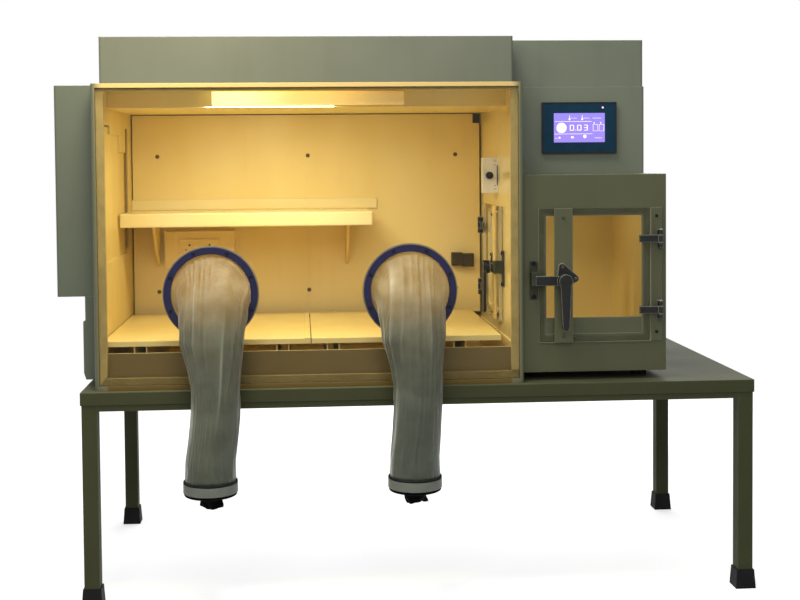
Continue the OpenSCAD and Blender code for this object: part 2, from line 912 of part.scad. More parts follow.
// Tube and its two end holders, which stand on the base
module lamp_tube() {
  axis_y = lamp_y - lamp_base_t - tube_r - gap;
  holder = 8;
  color("white") {
    translate([middle_x - lamp_l / 2 + 3 * holder, axis_y, lamp_z])
      rod_x(tube_r, lamp_l - 6 * holder);
    for (s = [-1, 1])
      translate([middle_x + s * (lamp_l / 2 - 2.5 * holder) - holder / 2, axis_y - tube_r, lamp_z - tube_r])
        cube([holder, 2 * tube_r + gap, 2 * tube_r]);
  }
}

// Clip-on trough with rounded front edges and closed ends
module lamp_diffuser() {
  lamp_skin = 1.5;
  lamp_round = 8;
  color("lightyellow")
    translate([middle_x - lamp_l / 2, lamp_y - lamp_base_t - lamp_d, lamp_z + lamp_h / 2])
      difference() {
        rotate([0, 90, 0])
          linear_extrude(lamp_l)
            front_rounded(lamp_h, lamp_d, lamp_round);
        translate([lamp_skin, lamp_skin, -lamp_skin])
          rotate([0, 90, 0])
            linear_extrude(lamp_l - 2 * lamp_skin)
              front_rounded(lamp_h - 2 * lamp_skin, lamp_d, lamp_round - lamp_skin);
      }
}

shelf_z = deck + shelf_h;
shelf_x1 = in_x0 + shelf_l;

// Folded shelf with a turned-down front lip
module shelf() {
  color(cream)
    translate([in_x0, 0, 0])
      rotate([90, 0, 90])
        linear_extrude(shelf_l)
          polygon([[panel_y - shelf_d, shelf_z - shelf_lip], [panel_y - shelf_d + sheet, shelf_z - shelf_lip],
            [panel_y - shelf_d + sheet, shelf_z - sheet], [panel_y, shelf_z - sheet], [panel_y, shelf_z],
            [panel_y - shelf_d, shelf_z]]);
}

module shelf_rail() {
  color(cream)
    slab([in_x0, panel_y - sheet, shelf_z], [shelf_x1 + shelf_rail_over, panel_y, shelf_z + shelf_rail_h]);
}

// Two plates under the shelf with a bowed lower edge
module shelf_brackets() {
  front = [-bracket_reach, -bracket_lip];
  heel = [0, -bracket_drop];
  chord = heel - front;
  half = norm(chord) / 2;
  rise = sqrt(pow(bracket_round, 2) - pow(half, 2));
  centre = (front + heel) / 2 + rise * [-chord.y, chord.x] / norm(chord);
  color(cream)
    for (x = [in_x0 + bracket_left, shelf_x1 - bracket_right])
      translate([x, panel_y, shelf_z - sheet])
        rotate([90, 0, 90])
          linear_extrude(bracket_w)
            intersection() {
              translate([-bracket_reach, -bracket_drop])
                square([bracket_reach, bracket_drop]);
              translate(centre)
                circle(r = bracket_round);
            }
}

socket_x = in_x0 + socket_in;
socket_z = shelf_z - sheet - socket_drop;
// Pin holes of one socket, from its middle
pin_side = 9.5;
pin_row = 11;
pin_middle = -1;
earth_r = 2.8;
flat_r = 2;
round_r = 2.5;

// A plate round the sockets' middle with its front face at y
module socket_slab(w, h, y, t) {
  slab([socket_x - w / 2, y, socket_z - h / 2], [socket_x + w / 2, y + t, socket_z + h / 2]);
}

module socket_box() {
  front = panel_y - socket_box_d;
  color(cream)
    difference() {
      socket_slab(socket_box_w, socket_box_h, front, socket_box_d);
      socket_slab(socket_box_w - 2 * sheet, socket_box_h - 2 * sheet, front + sheet, socket_box_d);
    }
}

// Plate with two five-pin sockets: an earth hole over two pairs of pin holes
module socket_plate() {
  front = panel_y - socket_box_d - socket_plate_t;
  pairs = [for (x = [-pin_side, pin_side], p = [[pin_middle, flat_r], [-pin_row, round_r]]) [x, p[0], p[1]]];
  color("white")
    difference() {
      socket_slab(socket_plate_w, socket_plate_h, front, socket_plate_t);
      for (c = [-socket_pitch / 2, socket_pitch / 2], p = concat([[0, pin_row, earth_r]], pairs))
        translate([socket_x + c + p[0], front - over, socket_z + p[1]])
          rod_y(p[2], socket_plate_t + 2 * over);
    }
}

// One tray: a folded sheet with lips all round
module tray(x0, x1) {
  y0 = frame_back + tray_front_gap;
  y1 = panel_y - tray_back_gap;
  difference() {
    slab([x0, y0, tray_z], [x1, y1, work_z]);
    slab([x0 + sheet, y0 + sheet, tray_z - over], [x1 - sheet, y1 - sheet, work_z - sheet]);
  }
}

// Two trays, the left one with a raised strip that marks the joint
module work_trays() {
  joint_off = 0.5;
  joint_x = middle_x - joint_off;
  left_end = joint_x - tray_gap / 2;
  color(cream) {
    tray(in_x0 + sheet, left_end);
    slab([left_end - joint_strip_w, frame_back + tray_front_gap, work_z - sheet],
      [left_end, panel_y - tray_back_gap, work_z + joint_strip_h]);
    tray(joint_x + tray_gap / 2, in_x1 - tray_end_gap);
  }
}

// Channels on the pan floor that carry the trays
module tray_bearers() {
  end_gap = 10;
  y1 = panel_y - tray_back_gap - end_gap;
  l = y1 - frame_back - tray_front_gap - end_gap;
  color(cream)
    for (x = bearer_x)
      translate([chamber_x + x - bearer_w / 2, y1, deck + sheet])
        rotate([90, 0, 0])
          linear_extrude(l)
            difference() {
              square([bearer_w, work_h - 2 * sheet]);
              translate([sheet, -over])
                square([bearer_w - 2 * sheet, work_h - 3 * sheet + over]);
            }
}

thermostat_y = frame_back + thermostat_set;
thermostat_z = deck + thermostat_up;
knob_off = -4;
knob_x = in_x1 - thermostat_w / 2 + knob_off;
knob_shaft_l = 11;

module thermostat_body() {
  half = thermostat_h / 2;
  color("white")
    difference() {
      slab([in_x1 - thermostat_w, thermostat_y, thermostat_z - half],
        [in_x1, thermostat_y + thermostat_d, thermostat_z + half]);
      translate([knob_x, thermostat_y - over, thermostat_z])
        rod_y(shaft_r + run_fit, over + knob_shaft_l + over);
    }
}

// Fluted knob on its shaft, with a pointer notch
module thermostat_knob() {
  flutes = 18;
  flute_r = 1;
  flute_out = 0.4;
  skirt = 2;
  notch_w = 1.5;
  color(black)
    translate([knob_x, thermostat_y - gap - knob_l, thermostat_z]) {
      difference() {
        rod_y(knob_d / 2, knob_l);
        for (i = [0 : flutes - 1])
          rotate([0, 360 / flutes * i, 0])
            translate([knob_d / 2 + flute_out, -over, 0])
              rod_y(flute_r, knob_l + over - skirt);
        translate([-notch_w / 2, -over, 0])
          cube([notch_w, 2 * over, knob_d / 2]);
      }
      rod_y(shaft_r, knob_l + gap + knob_shaft_l);
    }
}

// Two blocks side by side on the back panel, the second a little lower
module sensor_blocks() {
  split = 1;
  step = 3;
  color(dark)
    for (i = [0, 1])
      translate([in_x1 - sensor_in + i * (sensor_w + split), panel_y - sensor_d, deck + sensor_up - step * i])
        cube([sensor_w, sensor_d, sensor_h]);
}

// Deep cover on the chamber's left side, open towards the wall
module side_housing() {
  h = roof_z - side_z0;
  color(paint)
    difference() {
      translate([side_x, side_y1, side_z0])
        rotate(-90)
          linear_extrude(h)
            front_rounded(side_d, side_w, skin_round);
      translate([side_x + skin, side_y1 - skin, side_z0 + skin])
        rotate(-90)
          linear_extrude(h - 2 * skin)
            front_rounded(side_d - 2 * skin, side_w, skin_round - skin);
    }
}

module lower_side_panel() {
  color(paint)
    slab([chamber_x - lower_panel_t, side_y, deck + lower_panel_low], [chamber_x, side_y1, side_z0]);
}

module lower_side_cover() {
  x1 = chamber_x - lower_panel_t;
  z0 = deck + lower_panel_low;
  color(paint)
    translate([0, side_y1, 0])
      rotate([90, 0, 0])
        linear_extrude(side_d)
          polygon([[x1, z0], [x1, z0 + lower_cover_h], [x1 - lower_cover_t, z0 + lower_cover_h],
            [x1 - lower_cover_t, z0 + 3 * lower_cover_t]]);
}

module fan_motor() {
  color(dark)
    translate([side_x + skin, fan_y, fan_z])
      difference() {
        rod_x(motor_r, motor_l);
        translate([motor_l / 2, 0, 0])
          rod_x(shaft_r + run_fit, motor_l);
      }
}

// Back disc, rim ring and flat blades on one shaft
module fan_impeller() {
  disc_t = 3;
  blade_t = 1.5;
  blade_w = 18;
  rim = 1;
  color("gainsboro")
    translate([fan_x, fan_y, fan_z]) {
      translate([-motor_l / 2 + over, 0, 0])
        rod_x(shaft_r, motor_l / 2 + fan_gap + disc_t / 2);
      translate([fan_gap, 0, 0])
        rod_x(fan_r, disc_t);
      translate([fan_gap + fan_w - disc_t, 0, 0])
        difference() {
          rod_x(fan_r, disc_t);
          translate([-over, 0, 0])
            rod_x(fan_r - blade_w, disc_t + 2 * over);
        }
      for (i = [0 : fan_blades - 1])
        rotate([360 / fan_blades * i, 0, 0])
          translate([fan_gap + disc_t / 2, fan_r - blade_w + rim, -blade_t / 2])
            cube([fan_w - disc_t, blade_w - 2 * rim, blade_t]);
    }
}

// Tray of catalyst granules on the housing's floor, with a slotted top
module catalyst_box() {
  slots = 9;
  slot_t = 15;
  size = [side_w - 4 * skin, side_d - 2 * catalyst_end, catalyst_h];
  pitch = size.y / slots;
  color("silver")
    translate([side_x + 2 * skin, side_y + catalyst_end, side_z0 + skin])
      difference() {
        cube(size);
        for (i = [0 : slots - 1])
          translate([size.x / 5, pitch * (i + 1 / 4), size.z - slot_t])
            cube([size.x * 3 / 5, pitch / 2, slot_t + over]);
      }
}

// Hood over the roof, open below
module canopy() {
  y0 = chamber_y + canopy_set;
  color(paint)
    translate([chamber_x, y0, roof_z])
      difference() {
        linear_extrude(canopy_h)
          front_rounded(chamber_w, rear_y - y0, skin_round);
        translate([skin, skin, -over])
          linear_extrude(canopy_h - skin + over)
            front_rounded(chamber_w - 2 * skin, rear_y - y0 - 2 * skin, skin_round - skin);
      }
}

// Box open to the front, where the front plate closes it, and to the chamber
module airlock_shell() {
  color(paint)
    difference() {
      slab([airlock_x0, airlock_y + airlock_t, airlock_z0], [airlock_x1, airlock_y1, airlock_z1]);
      slab([airlock_x0 - over, airlock_y, airlock_z0 + airlock_t],
        [airlock_x1 - airlock_t, airlock_y1 - airlock_t, airlock_z1 - airlock_t]);
    }
}

module airlock_front() {
  color(paint)
    difference() {
      slab([airlock_x0, airlock_y, airlock_z0], [airlock_x1, airlock_y + airlock_t, airlock_z1]);
      slab([outer_axis.x - door_far + door_lap, airlock_y - over, outer_low + door_lap],
        [outer_axis.x - hinge_reach - door_lap, airlock_y + airlock_t + over,
          outer_low + outer_door_h - door_lap]);
    }
}

module airlock_feet() {
  pad = 30;
  color(black)
    for (x = [airlock_x0 + pad, airlock_x1 - 2 * pad], y = [airlock_y + 2 * pad, airlock_y1 - 2 * pad])
      slab([x, y, deck], [x + pad, y + pad, airlock_z0]);
}

// A door's flat panel, as seen from its hinge axis
module door_panel(low, h) {
  slab([-door_far, door_f, low], [-hinge_reach, door_f + door_t, low + h]);
}

module door_seal(low, h) {
  edge = 2;
  inset = edge + seal_w;
  difference() {
    slab([-door_far + edge, seal_f, low + edge], [-hinge_reach - edge, hinge_stand, low + h - edge]);
    slab([-door_far + inset, seal_f - over, low + inset],
      [-hinge_reach - inset, hinge_stand + over, low + h - inset]);
  }
}

// Heights of a door's two hinges
function hinge_heights(mid) = [mid - hinge_pitch / 2, mid + hinge_pitch / 2];

// Bar, latch base and hinge arms, which turn with the door
module door_fittings(low, h) {
  mid = low + h / 2;
  latch_z = mid - latch_drop;
  lobe_r = 8;
  lobes = [[-4, 31], [26, 4]];
  slab([-latch_reach - bar_w / 2, plate_f, low], [-latch_reach + bar_w / 2, door_f, low + h]);
  translate([-latch_reach, plate_f, latch_z])
    rotate([90, 0, 0])
      difference() {
        linear_extrude(plate_t)
          hull() {
            circle(boss_r, $fn = 32);
            for (p = lobes)
              translate(p) circle(lobe_r, $fn = 32);
          }
        translate([0, 0, -over])
          cylinder(r = spindle_r + run_fit, h = plate_t + 2 * over);
      }
  for (z = hinge_heights(mid))
    translate([0, 0, z - hinge_arm_h / 2])
      difference() {
        union() {
          slab([-hinge_reach - hinge_arm_l, plate_f, 0], [0, door_f, hinge_arm_h]);
          cylinder(r = barrel_r, h = hinge_arm_h);
        }
        translate([0, 0, -over])
          cylinder(r = pin_r + run_fit, h = hinge_arm_h + 2 * over);
      }
}

// Strip on the wall with the fixed knuckles above and below each arm
module hinge_strip(low, h) {
  mid = low + h / 2;
  side = hinge_reach - strip_gap;
  knuckle = (barrel_h - hinge_arm_h) / 2 - gap;
  slab([-side, hinge_stand - plate_t, low], [hinge_strip_w - side, hinge_stand, low + h]);
  for (z = hinge_heights(mid), s = [-1, 1])
    translate([0, 0, z + s * (hinge_arm_h / 2 + gap + knuckle / 2) - knuckle / 2])
      difference() {
        union() {
          cylinder(r = barrel_r, h = knuckle);
          slab([-barrel_r, 0, 0], [barrel_r, hinge_stand - plate_t, knuckle]);
        }
        translate([0, 0, -over])
          cylinder(r = pin_r + run_fit, h = knuckle + 2 * over);
      }
}

module door_pins(low, h) {
  head = 1.5;
  head_r = pin_r + head;
  for (z = hinge_heights(low + h / 2))
    translate([0, 0, z - barrel_h / 2]) {
      cylinder(r = pin_r, h = barrel_h + head);
      translate([0, 0, barrel_h])
        cylinder(r = head_r, h = head);
    }
}

// Lever, boss, latch arm and spindle, turning about the spindle
module door_lever(low, h) {
  end_r = 8;
  root_r = boss_r - 3;
  translate([-latch_reach, 0, low + h / 2 - latch_drop]) {
    translate([0, lever_f, 0])
      rod_y(boss_r, boss_h);
    translate([0, lever_f + lever_t, 0])
      rotate([90, 0, 0])
        linear_extrude(lever_t)
          hull() {
            circle(root_r, $fn = 32);
            translate([0, end_r - lever_l]) circle(end_r, $fn = 32);
          }
    slab([latch_reach - nose_u, arm_f, -arm_h / 2], [0, arm_f + arm_t, arm_h / 2]);
    translate([0, arm_f, 0])
      rod_y(spindle_r, plate_f - gap - arm_f);
  }
}

// Plate with a block whose pocket takes the arm's nose and stops it from above
module keeper(low, h) {
  latch_z = low + h / 2 - latch_drop;
  cheek = 8;
  nose_r = norm([nose_u - latch_reach, arm_h / 2]) + gap;
  translate([0, 0, latch_z])
    difference() {
      union() {
        slab([-keeper_u - keeper_w, hinge_stand - plate_t, -keeper_h / 2],
          [-keeper_u, hinge_stand, keeper_h / 2]);
        slab([-keeper_u - keeper_w, arm_f, -arm_h / 2], [-keeper_u, hinge_stand, arm_h / 2 + gap + cheek]);
      }
      slab([-latch_reach - nose_r, arm_f - over, -arm_h / 2 - over],
        [-keeper_u + over, arm_f + arm_t + gap, arm_h / 2 + gap]);
    }
}

module door_seals() {
  color(dark) {
    at_outer() door_seal(outer_low, outer_door_h);
    at_inner() door_seal(inner_low, inner_door_h);
  }
}

module hinge_strips() {
  color(paint) {
    at_outer() hinge_strip(outer_low, outer_door_h);
    at_inner() hinge_strip(inner_low, inner_door_h);
  }
}

module hinge_pins() {
  color(dark) {
    at_outer() door_pins(outer_low, outer_door_h);
    at_inner() door_pins(inner_low, inner_door_h);
  }
}

module keepers() {
  color(dark) {
    at_outer() keeper(outer_low, outer_door_h);
    at_inner() keeper(inner_low, inner_door_h);
  }
}

module outer_door() {
  color(clear)
    at_outer() door_panel(outer_low, outer_door_h);
}

module outer_door_fittings() {
  color(paint)
    at_outer() door_fittings(outer_low, outer_door_h);
}

module outer_lever() {
  color(dark)
    at_outer() door_lever(outer_low, outer_door_h);
}

module inner_door() {
  color(clear)
    at_inner() door_panel(inner_low, inner_door_h);
}

module inner_door_fittings() {
  color(paint)
    at_inner() door_fittings(inner_low, inner_door_h);
}

module inner_lever() {
  color(dark)
    at_inner() door_lever(inner_low, inner_door_h);
}

// A case open below, with rounded front edges
module case_shell(y0, z0, h) {
  w = control_x1 - airlock_x0;
  d = control_back - y0;
  translate([airlock_x0, y0, z0])
    difference() {
      linear_extrude(h)
        front_rounded(w, d, skin_round);
      translate([skin, skin, -over])
        linear_extrude(h - skin + over)
          front_rounded(w - 2 * skin, d - 2 * skin, skin_round - skin);
    }
}

module control_case() {
  color(paint)
    case_shell(control_y, control_z0, control_low_h);
}

module control_top() {
  color(paint)
    case_shell(control_y + control_step, control_z1, control_top_h);
}

// An upright plate with rounded corners, centred on the screen, its back at y
module screen_plate(w, h, r, y, t) {
  translate([screen_x - w / 2, y, screen_z - h / 2])
    rotate([90, 0, 0])
      linear_extrude(t)
        rounded(w, h, r);
}

screen_t = 2;

module screen_bezel() {
  bezel_round = 4;
  color([0.06, 0.2, 0.27])
    difference() {
      screen_plate(bezel_w, bezel_h, bezel_round, control_y, bezel_t);
      screen_plate(screen_w, screen_h, 1, control_y - bezel_t + screen_t, screen_t + over);
    }
}

module screen() {
  color([0.35, 0.3, 0.8])
    screen_plate(screen_w - 2 * gap, screen_h - 2 * gap, 1, control_y - bezel_t + screen_t, screen_t - gap);
}

// Three gas spigots and the mains inlet on the back of the control box
module rear_inlets() {
  inlet = [48, 12, 28];
  inlet_wall = 3;
  nut_r = 9;
  nut_t = 4;
  color(dark) {
    for (i = [-1, 0, 1])
      translate([screen_x + i * spigot_pitch, control_back, screen_z])
        difference() {
          union() {
            rod_y(nut_r, nut_t);
            rod_y(spigot_r, nut_t + spigot_l);
          }
          translate([0, -over, 0])
            rod_y(spigot_r / 2, nut_t + spigot_l + 2 * over);
        }
    translate([screen_x - inlet.x / 2, control_back, control_z0 + inlet.z])
      difference() {
        cube(inlet);
        translate([inlet_wall, inlet_wall, inlet_wall])
          cube(inlet - [2 * inlet_wall, 0, 2 * inlet_wall]);
      }
  }
}

placed() stand_top();
placed() stand_legs();
placed() stand_rails();
placed() stand_feet();
placed() chamber_base();
placed() left_wall();
placed() right_wall();
placed() rear_wall_panel();
placed() chamber_roof();
placed() front_frame();
placed() window_gasket();
placed() front_window();
placed() port_flanges();
placed() port_rings();
placed() port_screws();
placed() sleeve_left();
placed() sleeve_right();
placed() cuff_rings();
placed() cuff_o_rings();
placed() wrist_cuffs();
placed() back_panel();
placed() back_panel_fixings();
placed() lamp_base();
placed() lamp_tube();
placed() lamp_diffuser();
placed() shelf();
placed() shelf_rail();
placed() shelf_brackets();
placed() socket_box();
placed() socket_plate();
placed() work_trays();
placed() tray_bearers();
placed() thermostat_body();
placed() thermostat_knob();
placed() sensor_blocks();
placed() side_housing();
placed() lower_side_panel();
placed() lower_side_cover();
placed() fan_motor();
placed() fan_impeller();
placed() catalyst_box();
placed() canopy();
placed() airlock_shell();
placed() airlock_front();
placed() airlock_feet();
placed() door_seals();
placed() hinge_strips();
placed() hinge_pins();
placed() keepers();
placed() outer_door();
placed() outer_door_fittings();
placed() outer_lever();
placed() inner_door();
placed() inner_door_fittings();
placed() inner_lever();
placed() control_case();
placed() control_top();
placed() screen_bezel();
placed() screen();
placed() rear_inlets();
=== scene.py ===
# %% [markdown]
# # A laboratory glove box on its stand
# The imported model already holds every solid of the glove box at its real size, in metres. This lesson
# dresses it: it adds the finishes, the soft sleeves, the small fasteners and the lit parts, and it never
# moves a solid.

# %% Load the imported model
import json
import math

import bmesh
import bpy
import numpy as np
from mathutils import Matrix, Vector


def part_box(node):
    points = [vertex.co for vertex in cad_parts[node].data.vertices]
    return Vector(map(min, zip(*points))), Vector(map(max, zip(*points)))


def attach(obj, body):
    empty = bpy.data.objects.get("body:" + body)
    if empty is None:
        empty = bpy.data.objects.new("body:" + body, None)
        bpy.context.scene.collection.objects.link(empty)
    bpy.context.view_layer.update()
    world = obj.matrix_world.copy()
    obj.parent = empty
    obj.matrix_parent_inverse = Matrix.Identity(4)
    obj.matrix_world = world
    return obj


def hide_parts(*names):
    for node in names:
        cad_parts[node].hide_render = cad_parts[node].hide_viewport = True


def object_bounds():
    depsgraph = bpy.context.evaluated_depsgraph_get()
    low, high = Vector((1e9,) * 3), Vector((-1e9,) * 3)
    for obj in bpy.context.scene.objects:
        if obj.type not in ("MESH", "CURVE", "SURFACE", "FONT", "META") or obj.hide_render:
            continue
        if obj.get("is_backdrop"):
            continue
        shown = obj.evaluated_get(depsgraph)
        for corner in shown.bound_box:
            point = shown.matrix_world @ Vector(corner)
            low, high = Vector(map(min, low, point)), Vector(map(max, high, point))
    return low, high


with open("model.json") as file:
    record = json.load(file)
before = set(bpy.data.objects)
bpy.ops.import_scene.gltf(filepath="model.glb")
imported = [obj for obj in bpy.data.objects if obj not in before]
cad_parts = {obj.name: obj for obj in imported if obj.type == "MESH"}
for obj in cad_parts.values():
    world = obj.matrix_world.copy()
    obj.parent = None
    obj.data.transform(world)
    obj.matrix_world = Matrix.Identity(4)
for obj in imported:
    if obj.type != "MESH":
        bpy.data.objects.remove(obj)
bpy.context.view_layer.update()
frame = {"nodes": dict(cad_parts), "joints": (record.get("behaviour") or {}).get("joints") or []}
NODE = frame["nodes"]
MM = 0.001
scene = bpy.context.scene

# %% [markdown]
# ## The camera
# The photograph was taken from about three metres, a little above the shelf and left of the middle.
# The place, the turn and the focal length were fitted to corners of the case. A part of the framing comes
# from a lens shift, which keeps the legs upright, and the rest from a slight tilt.

# %% Set the camera
CAMERA_PLACE = Vector((-0.24012, -3.03795, 0.97910))
CAMERA_YAW, CAMERA_PITCH, CAMERA_ROLL = 0.06515, 0.03748, -0.00886
CAMERA_LENS, CAMERA_SHIFT = 55.977, (0.0233, -0.1125)
camera = bpy.data.objects.new("camera", bpy.data.cameras.new("camera"))
scene.collection.objects.link(camera)
aim = Matrix.Translation(CAMERA_PLACE)
for turn, axis in ((-CAMERA_YAW, "Z"), (math.pi / 2 - CAMERA_PITCH, "X"), (CAMERA_ROLL, "Z")):
    aim = aim @ Matrix.Rotation(turn, 4, axis)
camera.matrix_world = aim
camera.data.lens = CAMERA_LENS
camera.data.shift_x, camera.data.shift_y = CAMERA_SHIFT
scene.camera = camera
scene.view_settings.view_transform = "Standard"
print("camera at", [round(v, 3) for v in camera.location])

# %% [markdown]
# ## Writing shader maths as expressions
# Node networks are easier to read as formulas. `Value` wraps one socket, and arithmetic on it adds the Math
# nodes that work the formula out. `Nodes` is one tree: its `node` method adds any other node, with its
# settings first and its sockets after them. `Finish` is the tree of one material. All patterns read Object
# coordinates, which are metres here.


# %% Helpers for finishes
def srgb(r, g, b):
    """A colour as it is seen on a screen, 0 to 255, in the linear values that shaders take."""
    seen = [c / 255 for c in (r, g, b)]
    return (*[c / 12.92 if c <= 0.04045 else ((c + 0.055) / 1.055) ** 2.4 for c in seen], 1.0)


def scaled(colour, share):
    """A colour made darker by a share."""
    return (*[c * share for c in colour[:3]], 1.0)


EDGE_GAIN = 9.0


class Value:
    """One node socket. Arithmetic on it adds Math nodes."""

    def __init__(self, owner, socket):
        self.owner, self.socket = owner, socket

    def beside(self, name):
        """Another output of the same node."""
        return Value(self.owner, self.socket.node.outputs[name])

    def maths(self, operation, *terms):
        return self.owner.node("ShaderNodeMath", {"operation": operation}, dict(enumerate(terms)))

    def __add__(self, other):
        return self.maths("ADD", self, other)

    def __sub__(self, other):
        return self.maths("SUBTRACT", self, other)

    def __rsub__(self, other):
        return self.maths("SUBTRACT", other, self)

    def __mul__(self, other):
        return self.maths("MULTIPLY", self, other)

    def __pow__(self, other):
        return self.maths("POWER", self, other)

    def __abs__(self):
        return self.maths("ABSOLUTE", self)

    __radd__ = __add__
    __rmul__ = __mul__

    def above(self, level):
        return self.maths("GREATER_THAN", self, level)

    def sine(self):
        return self.maths("SINE", self)

    def between(self, low, high):
        """0 below low, 1 above high, and a smooth step between them."""
        return self.owner.node("ShaderNodeMapRange", {"interpolation_type": "SMOOTHSTEP"},
                               {"Value": self, "From Min": low, "From Max": high})


class Nodes:
    """One node tree."""

    def __init__(self, tree):
        self.tree = tree

    def node(self, kind, settings=None, sockets=None, out=0):
        made = self.tree.nodes.new(kind)
        for key, value in (settings or {}).items():
            setattr(made, key, value)
        for key, value in (sockets or {}).items():
            self.feed(made.inputs[key], value)
        return Value(self, made.outputs[out])

    def feed(self, socket, value):
        if isinstance(value, Value):
            self.tree.links.new(value.socket, socket)
        else:
            socket.default_value = value


class Finish(Nodes):
    """One material round a Principled shader."""

    def __init__(self, name, **fixed):
        self.material = bpy.data.materials.new(name)
        self.material.use_nodes = True
        super().__init__(self.material.node_tree)
        self.shader = self.tree.nodes["Principled BSDF"]
        self.set(**fixed)
        self.place = self.node("ShaderNodeTexCoord", out="Object")

    def set(self, **values):
        for name, value in values.items():
            self.feed(self.shader.inputs[name.replace("_", " ")], value)
        return self

    def noise(self, scale, detail=2.0, stretch=(1, 1, 1)):
        place = self.node("ShaderNodeMapping", {}, {"Vector": self.place, "Scale": stretch})
        sockets = {"Vector": place, "Scale": scale, "Detail": detail}
        return self.node("ShaderNodeTexNoise", {}, sockets, out="Fac")

    def mix(self, share, first, second):
        return self.node("ShaderNodeMix", {"data_type": "RGBA"}, {0: share, 6: first, 7: second}, out=2)

    def axis(self, which, vector=None):
        return self.node("ShaderNodeSeparateXYZ", {}, {0: vector or self.place}, out=which)

    def normal(self):
        return self.node("ShaderNodeNewGeometry", out="Normal")

    def edges(self, radius):
        """1 on sharp edges, fading over a radius, and 0 on flat faces. Also the rounded normal."""
        soft = self.node("ShaderNodeBevel", {"samples": 4}, {"Radius": radius})
        turned = self.node("ShaderNodeVectorMath", {"operation": "DOT_PRODUCT"}, {0: soft, 1: self.normal()},
                           out="Value")
        return ((1 - turned) * EDGE_GAIN).between(0.0, 1.0), soft

    def bump(self, height, depth, strength=1.0, under=None):
        sockets = {"Height": height, "Distance": depth, "Strength": strength}
        if under is not None:
            sockets["Normal"] = under
        return self.set(Normal=self.node("ShaderNodeBump", {}, sockets))


def dress(finish, *names):
    """Puts one finish on CAD nodes, all over."""
    for name in names:
        NODE[name].data.materials.clear()
        NODE[name].data.materials.append(finish.material)
    return finish


print("helpers ready")

# %% [markdown]
# ## The studio
# The object stands on a plain pale floor. A curved backdrop would stand in the way from other sides, so the
# floor fades into a white world a few metres out. Camera, gloss and see-through rays meet that white, and
# all other rays a dim world, because soft lamps light the object. The chamber's own lamp is lit, so a short
# warm lamp sits under the bright end of its diffuser. A weaker one lights the airlock, and a small golden
# one the left end of the canopy.

# %% Floor
FLOOR_NEAR, FLOOR_FAR = 1.6, 3.4
FLOOR_SHADE, FLOOR_BOUNCE, FLOOR_GLOW = 0.93, (0.22, 0.22, 0.21, 1.0), (0.62, 0.62, 0.62, 1.0)
SEEN_BY = ("Camera", "Glossy", "Transmission")
pale = Finish("pale_floor", Roughness=0.85, Specular_IOR_Level=0.1)
bounced = pale.node("ShaderNodeLightPath", out="Is Diffuse Ray")
seen = [bounced.beside(f"Is {kind} Ray") for kind in SEEN_BY]
shade = pale.noise(6.0, 3.0) * 0.02 + FLOOR_SHADE
grey = pale.node("ShaderNodeCombineColor", {}, {0: shade, 1: shade, 2: shade})
pale.set(Base_Color=pale.mix(bounced, grey, FLOOR_BOUNCE), Emission_Strength=1.0,
         Emission_Color=pale.mix(seen[0] + seen[1] + seen[2], (0.0, 0.0, 0.0, 1.0), FLOOR_GLOW))
distance = pale.node("ShaderNodeVectorMath", {"operation": "LENGTH"}, {0: pale.place}, out="Value")
faded = pale.node("ShaderNodeMixShader", {}, {
    0: distance.between(FLOOR_NEAR, FLOOR_FAR), 1: Value(pale, pale.shader.outputs[0]),
    2: pale.node("ShaderNodeBsdfTransparent")})
pale.tree.links.new(faded.socket, pale.tree.nodes["Material Output"].inputs["Surface"])

bpy.ops.mesh.primitive_plane_add(size=8.0)
floor = bpy.context.object
floor.name = "floor"
floor.data.materials.append(pale.material)
floor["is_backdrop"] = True
print("floor fades out between", FLOOR_NEAR, "and", FLOOR_FAR, "m")

# %% World
DIM, WHITE = (0.24, 0.25, 0.25, 1.0), (1.0, 1.0, 1.0, 1.0)
world = bpy.data.worlds.new("studio")
scene.world = world
world.use_nodes = True
sky = Nodes(world.node_tree)
shown = sky.node("ShaderNodeLightPath", out="Is Camera Ray")
for other in [shown.beside(f"Is {kind} Ray") for kind in SEEN_BY[1:]]:
    shown = shown.maths("MAXIMUM", shown, other)
sky.feed(sky.tree.nodes["Background"].inputs["Color"],
         sky.node("ShaderNodeMixRGB", {}, {0: shown, 1: DIM, 2: WHITE}))
print("world", DIM[:3], "seen as", WHITE[:3])

# %% Lamps
WARM, GOLDEN = (1.0, 0.95, 0.66), (1.0, 0.84, 0.5)
GLOW_SHARE, GLOW_UNDER, AIRLOCK_UNDER = 0.30, 4 * MM, 20 * MM


def soft_lamp(name, place, target, size, power, colour=(1, 1, 1)):
    """A rectangular lamp that faces a point."""
    data = bpy.data.lights.new(name, "AREA")
    data.shape, data.size, data.size_y = "RECTANGLE", *size
    data.energy, data.color = power, colour
    lamp = bpy.data.objects.new(name, data)
    scene.collection.objects.link(lamp)
    lamp.location = place
    lamp.rotation_euler = (Vector(target) - Vector(place)).to_track_quat("-Z", "Y").to_euler()
    lamp.visible_camera = False


